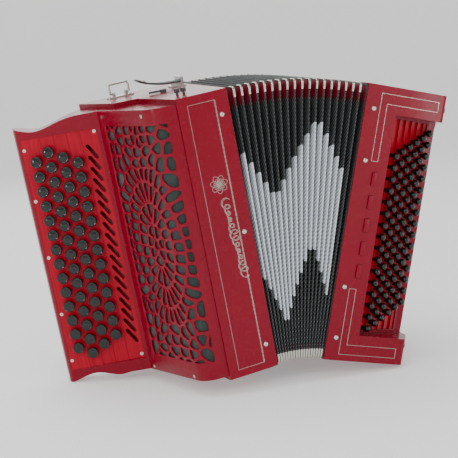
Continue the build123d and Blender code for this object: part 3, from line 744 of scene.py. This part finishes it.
# ---------------------------------------------------------------- bellows
def ring_points(depth):
    """(y, z, along, corner) round a fold, this far in from its outer edge."""
    half_y, half_z = RING_HALF[0] - depth, RING_HALF[1] - depth
    bend = max(RING_ROUND - 0.15 * depth, 0.8)
    corners = []
    for sign_y, sign_z, start in ((1, -1, -90), (1, 1, 0), (-1, 1, 90), (-1, -1, 180)):
        for step in range(4):
            turn = radians(start + step * 30)
            corners.append((sign_y * (half_y - bend) + bend * cos(turn), sign_z * (half_z - bend) + bend * sin(turn)))
    loop = []
    for index, pieces in enumerate((12, 6, 12, 6)):
        four = corners[index * 4:index * 4 + 4]
        (y, z), (next_y, next_z) = four[3], corners[(index * 4 + 4) % 16]
        loop += four + [(y + (next_y - y) * i / pieces, z + (next_z - z) * i / pieces) for i in range(1, pieces)]
    points, along = [], 0.0
    for index, (y, z) in enumerate(loop):
        if index:
            along += hypot(y - loop[index - 1][0], z - loop[index - 1][1])
        near = max(half_y - abs(y), half_z - abs(z))
        points.append((y, z + HEIGHT / 2, along, 1.0 if near < GUSSET_REACH else 0.0))
    return points


def white_span(number):
    """Heights between which a fold's tape is white: a zigzag, lowest at folds 5 and 6, highest at 12 and 13."""
    if not 1 <= number < FOLDS:
        return (0.0, 0.0)
    steps = abs((number + 1.5) % (2 * WHITE_TURN_FOLDS) - WHITE_TURN_FOLDS)
    return (WHITE_FROM[0] + WHITE_FROM[1] * steps, WHITE_TO[0] + WHITE_TO[1] * steps)


def ring_piece(name, columns, closed):
    """A ring of several loops; a column is (points, across, span) with points as (place, along, height, corner)."""
    count = len(columns[0][0])
    points = [place for column in columns for place, _, _, _ in column[0]]
    piece = new_piece(name, points, tube_faces(len(columns), count, closed=closed))
    place = piece.data.attributes.new("tape_place", "FLOAT_VECTOR", "POINT")
    span = piece.data.attributes.new("tape_span", "FLOAT_VECTOR", "POINT")
    for c, (loop, across, white) in enumerate(columns):
        for i, (_, along, height, corner) in enumerate(loop):
            place.data[c * count + i].vector = (across, along, height)
            span.data[c * count + i].vector = (white[0], white[1], corner)
    return piece


def ring_column(axes, x, depth, across, number, corner=True):
    """One loop round a fold, at x from its middle."""
    loop = [(axes @ Vector((x, y, z)), along, z, near if corner else 0.0) for y, z, along, near in ring_points(depth)]
    return (loop, across, white_span(number))


def between(first, second, share, across, white):
    """A loop part of the way from one loop to another."""
    loop = [(a[0].lerp(b[0], share), a[1], a[2], a[3]) for a, b in zip(first[0], second[0])]
    return (loop, across, white)


def make_ridge(number):
    """The taped edge of one fold, or the strip that ends the bellows at a section's frame."""
    is_fold = 1 <= number <= FOLDS
    half = 1.25 if is_fold else 0.6
    middle = {0: 0.6, FOLDS + 1: -0.6}.get(number, 0.0)
    profile = ((-half, 3.2), (-half, 0.7), (-half * 0.5, 0.05), (half * 0.5, 0.05), (half, 0.7), (half, 3.2))
    columns = [ring_column(fold_section(number), middle + x, depth, x, number, False) for x, depth in profile]
    ridge = ring_piece(f"bellows_ridge_{number:02d}", columns, True)
    smooth = ridge.modifiers.new("Rounded tape", "SUBSURF")
    smooth.levels = smooth.render_levels = 1
    ridge = settle(ridge, Matrix.Identity(4))
    face_outwards(ridge)
    replaced = (f"bellows_fold_{number:02d}",) if is_fold else ()
    dress(ridge, "bellows_card", fold_body(number), replaced, 60)


def make_pleat(number, depth):
    """The folded wall between one fold and the next, down to its valley and up again."""
    near_axes, far_axes = fold_section(number), fold_section(number + 1)
    start = 0.4 if number == 0 else 1.0
    end = -0.4 if number == FOLDS else -1.0
    near = ring_column(near_axes, start, PLEAT_TOP, 1.5, number)
    far = ring_column(far_axes, end, PLEAT_TOP, -1.5, number + 1)
    near_deep = ring_column(near_axes, start, depth, depth, number)
    far_deep = ring_column(far_axes, end, depth, -depth, number + 1)
    share = 0.84 if number == FOLDS else 0.5
    valley = between(near_deep, far_deep, share, 19.0, (0.0, 0.0))
    near_edge = between(near, valley, 0.42, 8.6, near[2])
    far_edge = between(far, valley, 0.42, -8.6, far[2])
    pleat = ring_piece(f"bellows_pleat_{number:02d}", [near, near_edge, valley, far_edge, far], False)
    wall = pleat.modifiers.new("Cloth on card", "SOLIDIFY")
    wall.thickness = CARD_THICKNESS
    wall.offset = 0
    pleat = settle(pleat, Matrix.Identity(4))
    face_outwards(pleat)
    dress(pleat, "bellows_card", crease=50)
    foot, top = near_axes @ Vector((start, 0, 0)), far_axes @ Vector((end, 0, 0))
    if number < FOLDS:
        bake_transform(pleat)
        return
    # No joint joins the last fold to the bass section. The lengths, in metres,
    # leave this pleat's near edge 18/19 of the turn, which is the last fold's own share
    turn = BASS_ANGLE - FAN / (FOLDS + 1)
    along = Vector((cos(turn), 0, -sin(turn)))
    foot -= along * 0.0088
    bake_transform(pleat)


def make_clips(number, length):
    """The four metal clips on the corners of one fold."""
    bend = RING_ROUND + 0.2
    half_y, half_z = RING_HALF[0] + 0.25, RING_HALF[1] + 0.25
    # (y, z) along the clip from its foot on the side to its end on the top, and the way out at each
    path = [(half_y, half_z - length), (half_y, half_z - length * 0.6), (half_y, half_z - bend)]
    path += [(half_y - bend + bend * cos(radians(a)), half_z - bend + bend * sin(radians(a))) for a in (30, 60)]
    path += [(half_y - bend, half_z), (half_y - length * 0.6, half_z), (half_y - length, half_z)]
    ways = [(cos(radians(a)), sin(radians(a))) for a in (0, 0, 0, 30, 60, 90, 90, 90)]
    profile = ((-1.4, 4.6), (-1.4, 0.5), (-0.8, 0.0), (0.8, 0.0), (1.4, 0.5), (1.4, 4.6))
    points, faces = [], []
    for sign_y, sign_z in ((1, 1), (1, -1), (-1, 1), (-1, -1)):
        faces += tube_faces(len(path), len(profile), len(points), capped=True)
        for (y, z), (out_y, out_z) in zip(path, ways):
            points += [
                (x, sign_y * (y - out_y * deep), sign_z * (z - out_z * deep) + HEIGHT / 2) for x, deep in profile
            ]
    clips = settle(new_piece(f"bellows_clips_{number:02d}", points, faces), fold_section(number))
    face_outwards(clips)
    dress(clips, "nickel", fold_body(number), (), 40)


# ---------------------------------------------------------------- grille
def clipped(cell, middle, way):
    """The part of a convex cell on the near side of a line."""
    kept = []
    for index, here in enumerate(cell):
        after = cell[(index + 1) % len(cell)]
        this, that = (here - middle).dot(way), (after - middle).dot(way)
        if this <= 0:
            kept.append(here)
        if (this < 0 < that) or (that < 0 < this):
            kept.append(here.lerp(after, this / (this - that)))
    return kept


def rounded(cell, times):
    """A cell with its corners cut round."""
    for _ in range(times):
        cut = []
        for index, here in enumerate(cell):
            after = cell[(index + 1) % len(cell)]
            if (after - here).length > 0.5:
                cut += [here.lerp(after, 0.24), here.lerp(after, 0.76)]
            else:
                cut.append(here.lerp(after, 0.5))
        cell = cut
    return cell


def fret_seeds():
    """Middles of the holes: ovals of rays round one rosette, and fans in the corners."""
    middle, (wide, tall), seeds = Vector(ROSETTE_MIDDLE), ROSETTE_REACH, []
    for reach, count, turn in ((0.0, 1, 0), (0.17, 7, 0.2), (0.42, 17, 0.1), (0.72, 29, 0.0), (0.97, 36, 0.1)):
        for i in range(count):
            angle = tau * (i + turn) / count
            seeds.append(middle + Vector((wide * reach * cos(angle), tall * reach * sin(angle))))
    for hub, turn in (((122, 322), 0.3), ((122, 42), 0.1), ((22, 322), 0.5), ((22, 42), 0.0)):
        seeds.append(Vector(hub))
        for reach, count in ((17, 8), (36, 16), (56, 22)):
            for i in range(count):
                angle = tau * (i + turn) / count
                seed = Vector(hub) + Vector((reach * cos(angle), reach * sin(angle)))
                clear_of_rosette = ((seed.x - middle.x) / wide) ** 2 + ((seed.y - middle.y) / tall) ** 2 > 1.12
                apart = min((seed - other).length for other in seeds)
                if clear_of_rosette and apart > 8.5 and 10 < seed.x < 134 and 26 < seed.y < 338:
                    seeds.append(seed)
    return seeds


def fret_holes(bar):
    """Rounded outlines of the holes: the plane shared out between the seeds, less half a bar all round."""
    seeds, holes = fret_seeds(), []
    for seed in seeds:
        cell = [Vector((13, 29)), Vector((132, 29)), Vector((132, 335)), Vector((13, 335))]
        for other in seeds:
            apart = other - seed
            if 0 < apart.length < 60 and cell:
                way = apart.normalized()
                cell = clipped(cell, seed + apart / 2 - way * (bar / 2), way)
        if len(cell) < 3:
            continue
        area = abs(sum(a.x * b.y - b.x * a.y for a, b in zip(cell, cell[1:] + cell[:1]))) / 2
        if area > 16:
            holes.append(rounded(cell, 2))
    return holes


def make_fretwork(bar):
    """The pierced cover, made flat and bent round the front corner."""
    curve = bpy.data.curves.new("treble_fretwork", "CURVE")
    curve.dimensions = "2D"
    curve.fill_mode = "BOTH"
    curve.extrude = 0.85
    curve.bevel_depth = 0.4
    curve.bevel_resolution = 1
    outer = [(0, COVER_LOW), (COVER_WIDTH, COVER_LOW), (COVER_WIDTH, COVER_HIGH), (0, COVER_HIGH)]
    for outline in [outer] + fret_holes(bar):
        spline = curve.splines.new("POLY")
        spline.points.add(len(outline) - 1)
        for point, place in zip(spline.points, outline):
            point.co = (*place, 0, 1)
        spline.use_cyclic_u = True
    sheet = settle(add_object("treble_fretwork", curve), Matrix.Identity(4))
    shell = bmesh.new()
    shell.from_mesh(sheet.data)
    for step in range(13):
        cut = COVER_STRAIGHT + COVER_ARC * step / 12
        everything = shell.verts[:] + shell.edges[:] + shell.faces[:]
        bmesh.ops.bisect_plane(shell, geom=everything, plane_co=(cut, 0, 0), plane_no=(1, 0, 0))
    for vertex in shell.verts:
        flat = cover_point(vertex.co.x, vertex.co.z - 1.25)
        vertex.co = TREBLE @ Vector((flat.x, flat.y, vertex.co.y))
    shell.to_mesh(sheet.data)
    shell.free()
    face_outwards(sheet, 2e-6)
    dress(sheet, "red_lacquer", "treble", ("treble_grille",), 30)


def make_cover_ends():
    """The plates that close the cover at its foot and top."""
    plan = [cover_point(COVER_WIDTH * i / 40, -1.6) for i in range(41)]
    plan += [Vector((-82, 6)), Vector((-112, 12)), Vector((-130, 20))]
    for name, low in (("treble_cover_foot", COVER_LOW + 0.2), ("treble_cover_top", COVER_HIGH - 2.7)):
        points = [(p.x, p.y, height) for height in (low, low + 2.5) for p in plan]
        plate = settle(new_piece(name, points, tube_faces(2, len(plan), capped=True)), TREBLE)
        face_outwards(plate)
        dress(plate, "red_lacquer", "treble")


def make_cloth():
    """The cloth stretched behind the cover."""
    columns, rows, height = 44, 2, 332
    points, faces = [], []
    for i in range(columns + 1):
        flat = cover_point(7 + (COVER_WIDTH - 16) * i / columns, -4.2)
        points += [(flat.x, flat.y, 14 + height * j / rows) for j in range(rows + 1)]
    for i in range(columns):
        for j in range(rows):
            a = i * (rows + 1) + j
            faces.append((a, a + rows + 1, a + rows + 2, a + 1))
    cloth = new_piece("treble_cloth", points, faces)
    weave = cloth.data.uv_layers.new(name="Weave")
    for corner in cloth.data.loops:
        column, row = divmod(corner.vertex_index, rows + 1)
        weave.data[corner.index].uv = (3.4 * column, height / rows * row)
    thick = cloth.modifiers.new("Cloth", "SOLIDIFY")
    thick.thickness = 0.6
    cloth = settle(cloth, TREBLE)
    dress(cloth, "cloth_green", "treble", ("grille_cloth",))


# ---------------------------------------------------------------- silver lines
def inlay(name, axes, runs, width, body, **shape):
    """Silver wires laid on one section's front panel."""
    dress(settle(wires(name, runs, width, **shape), axes), "nickel", body)


def make_inlay(width):
    """Silver lines on both panels, with a flower and a tendril on the treble side."""
    right, left, foot, top = -17.5, -53.0, 10.0, 349.0
    line = [(right, foot), (left, foot), (left, top), (right, top)]
    inlay("treble_line", TREBLE_PANEL, [line], width, "treble")
    strands = [
        [(right + 0.75 * sin(tau * i / 8 + turn), foot + (top - foot) * i / 240) for i in range(241)]
        for turn in (0, tau / 2)
    ]
    inlay("treble_twist", TREBLE_PANEL, strands, width * 0.8, "treble")
    petals, (middle_x, middle_z) = [], (-32, 246.6)
    for i in range(7):
        way = tau * i / 7 + 0.2
        for reach, broad in ((11.5, 0.32), (7.5, 0.24)):
            petal = []
            for step in range(14):
                a = tau * step / 14
                out, aside = reach * (1 - cos(a)) / 2, broad * reach * sin(a)
                petal.append(
                    (middle_x + out * cos(way) - aside * sin(way), middle_z + out * sin(way) + aside * cos(way))
                )
            petals.append(petal)
    inlay("treble_flower", TREBLE_PANEL, petals, width * 0.7, "treble", closed=True)
    tendril = []
    for i in range(170):
        t = i / 169
        swing = 5.6 * (0.65 + 0.35 * cos(tau * 2.2 * t))
        turn = tau * 12 * t
        tendril.append((-29.5 + 8.5 * t + swing * cos(turn), 226 - 99 * t + 4.6 * sin(turn)))
    edge = [(x + 1.3, z - 0.9) for x, z in tendril]
    inlay("treble_tendril", TREBLE_PANEL, [tendril, edge], width * 0.75, "treble", smooth=True)
    frames = [
        [(21.3, 350), (106, 350), (106, 337), (30.8, 337), (30.8, 262.5), (21.3, 262.5)],
        [(20.3, 95.5), (30.2, 95.5), (30.2, 21.5), (104, 21.5), (104, 8.5), (20.3, 8.5)],
    ]
    inlay("bass_line", BASS_PANEL, frames, width * 1.1, "bass", closed=True)


# ---------------------------------------------------------------- buttons
def copies(axes, places):
    """A seat's axes moved to each place on it."""
    return [axes @ Matrix.Translation((*place, 0)) for place in places]


def make_treble_buttons():
    """Four rows of dished caps on stems."""
    profile = [
        (0, 4.85), (2.4, 4.76), (4.4, 4.45), (5.5, 4.1), (5.9, 4.15), (6.3, 4.35), (6.8, 4.4), (7.25, 4.05), (7.5, 3.3),
        (7.5, 0.7), (7.2, 0.1),
        (2.6, 0), (2.5, -7), (0, -7),
    ]
    # how far each row stands from the cover, and how many buttons it has
    for index, (along, count) in enumerate(((88.0, 14), (70.6, 15), (53.2, 14), (35.8, 13))):
        number = index + 1
        axes = KEYS @ Matrix.Translation((0, 0, 4.5 - 0.5 * index))
        places = [(-along, 178.6 + TREBLE_PITCH * ((count - 1) / 2 - i)) for i in range(count)]
        caps = settle(turned(f"treble_caps_{number}", profile, 26), *copies(axes, places))
        dress(caps, "black_button", f"treble_row_{number}", (f"treble_buttons_row_{number}",), 40)


def make_bass_buttons():
    """Six rows of domed buttons."""
    profile = [
        (0, 7.5), (1.9, 7.25), (3.4, 6.4), (4.4, 5.0), (4.8, 3.4), (4.75, 0.8), (4.4, 0.1),
        (2.6, 0), (2.5, -7), (0, -7),
    ]
    axes = BOARD @ Matrix.Translation((0, 0, 5.5))
    step_x, step_z = BASS_ROW_STEP
    for row in range(6):
        number = row + 1
        places = [(16 + step_x * row, 272.8 + step_z * row - BASS_PITCH * i) for i in range(16)]
        caps = settle(turned(f"bass_caps_{number}", profile, 18), *copies(axes, places))
        dress(caps, "black_button", f"bass_row_{number}", (f"bass_buttons_row_{number}",), 45)


def make_registers():
    """Five register bars with softened edges, in their pockets."""
    bar = slab("register_bars", (7.5, 18, 2.2), 0.7, -2.0)
    places = [(29.6, 179.2 + REGISTER_PITCH * (2 - i)) for i in range(5)]
    dress(settle(bar, *copies(BASS_PANEL, places)), "red_lacquer", "registers", ("bass_registers",))


def make_pins():
    """Domed pins along both bellows frames, front and back."""
    profile = [(0, 2.4), (1.5, 2.2), (2.7, 1.5), (3.3, 0.6), (3.5, 0.05), (3.5, -0.3), (0, -0.3)]
    for name, body, front, back, x, heights in (
        ("treble_domes", "treble", TREBLE_PANEL, TREBLE_BACK, -11.0, (329.6, 181.0, 32.0)),
        ("bass_domes", "bass", BASS_PANEL, BASS_BACK, 13.0, (329.0, 262.0, 97.0, 30.0)),
    ):
        places = copies(front, [(x, z) for z in heights]) + copies(back, [(-x, z) for z in heights])
        pins = settle(turned(name, profile, 16), *places)
        dress(pins, "nickel", body, (f"{body}_pins",), 60)


# ---------------------------------------------------------------- straps
def band(name, path, width, thickness, crown):
    """A padded band that follows a path of (x, z) points, crowned across its width."""
    across = (-0.5, -0.42, -0.2, 0.0, 0.2, 0.42, 0.5)
    points = []
    for index, (x, z) in enumerate(path):
        before, after = path[max(index - 1, 0)], path[min(index + 1, len(path) - 1)]
        run = Vector((after[0] - before[0], after[1] - before[1])).normalized()
        for share in across:
            rise = crown * (1 - (2 * share) ** 2) + thickness
            points.append((x + run.y * rise, share * width, z - run.x * rise))
        points += [(x, share * width, z) for share in reversed(across)]
    piece = new_piece(name, points, tube_faces(len(path), 2 * len(across), capped=True))
    soft = piece.modifiers.new("Soft edges", "BEVEL")
    soft.width = 0.5
    soft.segments = 2
    soft.limit_method = "ANGLE"
    return piece


def make_bass_strap():
    """The leather hand strap on the bass end, with two rows of stitches."""
    radius = (STRAP_HALF ** 2 + STRAP_BULGE ** 2) / (2 * STRAP_BULGE)
    reach = atan2(STRAP_HALF, radius - STRAP_BULGE)
    middle_x, middle_z = STRAP_BULGE - radius, HEIGHT / 2
    inner, stitched = radius - 2.6, radius - 0.6
    path = []
    for i in range(25):
        angle = reach * (2 * i / 24 - 1)
        path.append((max(middle_x + radius * cos(angle) - 2.6, 0.2), middle_z + inner * sin(angle)))
    axes = BASS @ Matrix.Translation((BASS_WIDTH, 29, 0))
    strap = settle(band("hand_strap", path, 62, 1.8, 0.6), axes)
    face_outwards(strap)
    dress(strap, "leather_black", "bass", ("bass_strap",), 50)
    threads = []
    for side in (-27, 27):
        for i in range(40):
            ends = [reach * (2 * (i + share) / 40 - 1) * 0.97 for share in (0.15, 0.7)]
            threads.append([(middle_x + stitched * cos(a), side, middle_z + stitched * sin(a)) for a in ends])
    dress(settle(wires("hand_strap_stitches", threads, 0.7), axes), "aluminium", "bass")


def make_closing_strap():
    """The short leather strap that holds the bellows shut, with its press stud."""
    path = [(1.0, 5.8), (-6, 5.85), (-16, 6.0), (-24, 7.0), (-32, 8.6), (-40, 10.7), (-48, 14.0), (-54.5, 18.2)]
    axes = TREBLE @ Matrix.Translation((-14, 40, HEIGHT))
    strap = settle(band("closing_strap", path, 21, 1.7, 0.5), axes)
    face_outwards(strap)
    dress(strap, "leather_black", "treble", ("bellows_strap",), 50)
    stud = turned("closing_stud", [(0, 2.6), (2.4, 2.4), (4.2, 1.5), (4.8, 0.3), (4.8, -1.4), (0, -1.4)], 20)
    place = axes @ Matrix.Translation((-45.5, 0, 14.8)) @ Matrix.Rotation(radians(33), 4, "Y")
    dress(settle(stud, place), "nickel", "treble", (), 60)
    runs = [[(x + 0.4, side, z + 2.0) for x, z in path[1:-1]] for side in (-8.6, 8.6)]
    dress(settle(wires("closing_strap_seams", runs, 0.6), axes), "steel_dark", "treble")


# ---------------------------------------------------------------- stage
def make_floor():
    """A pale floor."""
    # it turns up into a round wall, well outside the lights and the camera
    profile = [(5.0, 3.4), (4.95, 2.0), (4.8, 1.2), (4.5, 0.6), (4.0, 0.18), (3.4, 0.02), (2.8, 0), (0, 0)]
    floor = turned("floor", profile, 48)
    smooth = floor.modifiers.new("Smooth sweep", "SUBSURF")
    smooth.levels = smooth.render_levels = 2
    material, nodes, links, output = start_material("Pale floor")
    place = nodes.new("ShaderNodeTexCoord")
    place.label = "Place on the floor"
    cloud = nodes.new("ShaderNodeTexNoise")
    cloud.label = "Faint clouds"
    cloud.inputs["Scale"].default_value = 2
    mix = nodes.new("ShaderNodeMix")
    mix.label = "Pale tones"
    mix.data_type = "RGBA"
    mix.inputs["A"].default_value = (0.86, 0.86, 0.86, 1)
    mix.inputs["B"].default_value = (0.9, 0.9, 0.9, 1)
    shader = nodes.new("ShaderNodeBsdfPrincipled")
    shader.label = "Matte floor"
    shader.inputs["Roughness"].default_value = 0.9
    shader.inputs["Specular IOR Level"].default_value = 0.1
    shader.inputs["Emission Color"].default_value = (1, 1, 1, 1)
    shader.inputs["Emission Strength"].default_value = 0.3
    lay_out((place, cloud, mix, shader))
    links.new(place.outputs["Object"], cloud.inputs["Vector"])
    links.new(cloud.outputs["Fac"], mix.inputs["Factor"])
    links.new(mix.outputs["Result"], shader.inputs["Base Color"])
    links.new(shader.outputs["BSDF"], output.inputs["Surface"])
    floor.data.materials.append(material)


def make_world():
    """An even white surround."""
    world = bpy.data.worlds.new("Studio")
    bpy.context.scene.world = world
    world.use_nodes = True
    tree = world.node_tree
    tree.nodes.clear()
    background = tree.nodes.new("ShaderNodeBackground")
    background.label = "White studio"
    background.inputs["Color"].default_value = (1, 1, 1, 1)
    background.inputs["Strength"].default_value = 0.5
    output = tree.nodes.new("ShaderNodeOutputWorld")
    output.label = "World"
    lay_out((background, output))
    tree.links.new(background.outputs["Background"], output.inputs["Surface"])


def make_lights():
    """Soft boxes, with narrow strips for the highlights."""
    aim = Vector((0, 0, 0.18))
    for name, spot, power, size in (
        ("Top softbox", (-0.3, 0.1, 1.7), 15, (1.6, 1.2)),
        ("Key from the left", (-1.5, -1.6, 1.3), 11.5, (0.9, 0.9)),
        ("Fill from the right", (1.7, -1.3, 0.9), 5, (1.2, 1.4)),
        ("Back softbox", (0.2, 1.8, 1.1), 9, (1.8, 1.0)),
        ("Low strip light", (-1.9, -1.0, 0.25), 7, (0.08, 0.9)),
        ("High strip light", (-0.7, -1.9, 1.5), 5, (0.9, 0.08)),
        ("Right strip light", (1.2, -1.7, 0.5), 4, (0.08, 1.0)),
    ):
        light = bpy.data.lights.new(name, "AREA")
        light.energy = power
        light.shape = "RECTANGLE"
        light.size, light.size_y = size
        lamp = add_object(name, light)
        lamp.location = spot
        lamp.rotation_euler = (aim - Vector(spot)).to_track_quat("-Z", "Y").to_euler()


def make_camera():
    """The camera, in front and a little to the left."""
    # it stands upright to the floor once the treble side leans 11.5 degrees
    upright = TREBLE @ Matrix.Rotation(radians(11.49), 4, "Y")
    eye = upright @ Vector((-624.2, -1491.8, 416.0))
    target = upright @ Vector((-29.6, 0, 163.5))
    up = (upright.to_3x3() @ Vector((0, 0, 1))).normalized()
    back = (eye - target).normalized()
    right = up.cross(back).normalized()
    turn = Matrix((right, back.cross(right), back)).transposed().to_4x4()
    data = bpy.data.cameras.new("Camera")
    data.sensor_width = 36
    data.lens = 97.1
    data.clip_end = 50
    camera = add_object("Camera", data)
    camera.matrix_world = Matrix.Translation(eye) @ turn
    bpy.context.scene.camera = camera


# ---------------------------------------------------------------- operators
class ACCORDION_OT_frame_finishes(bpy.types.Operator):
    """Give every part of the frame the finish of its material slot"""

    bl_idname = "accordion.frame_finishes"
    bl_label = "Frame finishes"

    def execute(self, context):
        for name, node in frame["nodes"].items():
            if name not in SLOTS:
                raise RuntimeError(f"{name} has no material slot")
            node.data.materials.clear()
            node.data.materials.append(finish_of(SLOTS[name]))
        return {"FINISHED"}


class ACCORDION_OT_bellows(bpy.types.Operator):
    """Make the taped ridges, corner clips and pleats of the bellows"""

    bl_idname = "accordion.bellows"
    bl_label = "Bellows"

    def execute(self, context):
        sizes = context.scene.accordion_sizes
        for number in range(FOLDS + 2):
            make_ridge(number)
        for number in range(FOLDS + 1):
            make_pleat(number, sizes.pleat_depth)
        for number in range(1, FOLDS + 1):
            make_clips(number, sizes.clip_length)
        return {"FINISHED"}


class ACCORDION_OT_grille(bpy.types.Operator):
    """Make the pierced grille cover and the cloth behind it"""

    bl_idname = "accordion.grille"
    bl_label = "Grille"

    def execute(self, context):
        make_fretwork(context.scene.accordion_sizes.fret_bar)
        make_cover_ends()
        make_cloth()
        return {"FINISHED"}


class ACCORDION_OT_inlay(bpy.types.Operator):
    """Lay the silver lines, the flower and the tendril on the front panels"""

    bl_idname = "accordion.inlay"
    bl_label = "Silver inlay"

    def execute(self, context):
        make_inlay(context.scene.accordion_sizes.inlay_width)
        return {"FINISHED"}


class ACCORDION_OT_buttons(bpy.types.Operator):
    """Turn the treble and bass buttons and make the register bars"""

    bl_idname = "accordion.buttons"
    bl_label = "Buttons and registers"

    def execute(self, context):
        make_treble_buttons()
        make_bass_buttons()
        make_registers()
        return {"FINISHED"}


class ACCORDION_OT_fittings(bpy.types.Operator):
    """Make the domed pins, the hand strap and the strap that closes the bellows"""

    bl_idname = "accordion.fittings"
    bl_label = "Pins and straps"

    def execute(self, context):
        make_pins()
        make_bass_strap()
        make_closing_strap()
        return {"FINISHED"}


class ACCORDION_OT_stage(bpy.types.Operator):
    """Set the floor, the lights and the camera"""

    bl_idname = "accordion.stage"
    bl_label = "Stage"

    def execute(self, context):
        make_floor()
        make_world()
        make_lights()
        make_camera()
        if context.scene.camera is None:
            raise RuntimeError("the stage has no camera")
        return {"FINISHED"}


class ACCORDION_PT_panel(bpy.types.Panel):
    """Sizes, colours and steps of the accordion"""

    bl_idname = "ACCORDION_PT_panel"
    bl_label = "Button Accordion"
    bl_space_type = "VIEW_3D"
    bl_region_type = "UI"
    bl_category = "Accordion"

    def draw(self, context):
        layout = self.layout
        for group in (context.scene.accordion_sizes, context.scene.accordion_colours):
            for name in group.__annotations__:
                layout.prop(group, name)
        for step in STEPS:
            layout.operator(step.bl_idname)


STEPS = (
    ACCORDION_OT_frame_finishes,
    ACCORDION_OT_bellows,
    ACCORDION_OT_grille,
    ACCORDION_OT_inlay,
    ACCORDION_OT_buttons,
    ACCORDION_OT_fittings,
    ACCORDION_OT_stage,
)


def register():
    for item in (AccordionSizes, AccordionColours, *STEPS, ACCORDION_PT_panel):
        bpy.utils.register_class(item)
    bpy.types.Scene.accordion_sizes = bpy.props.PointerProperty(type=AccordionSizes)
    bpy.types.Scene.accordion_colours = bpy.props.PointerProperty(type=AccordionColours)


def unregister():
    del bpy.types.Scene.accordion_sizes
    del bpy.types.Scene.accordion_colours
    for item in reversed((AccordionSizes, AccordionColours, *STEPS, ACCORDION_PT_panel)):
        bpy.utils.unregister_class(item)


def main():
    register()
    bpy.ops.accordion.frame_finishes()
    bpy.ops.accordion.bellows()
    bpy.ops.accordion.grille()
    bpy.ops.accordion.inlay()
    bpy.ops.accordion.buttons()
    bpy.ops.accordion.fittings()
    bpy.ops.accordion.stage()


if __name__ == "__main__":
    main()
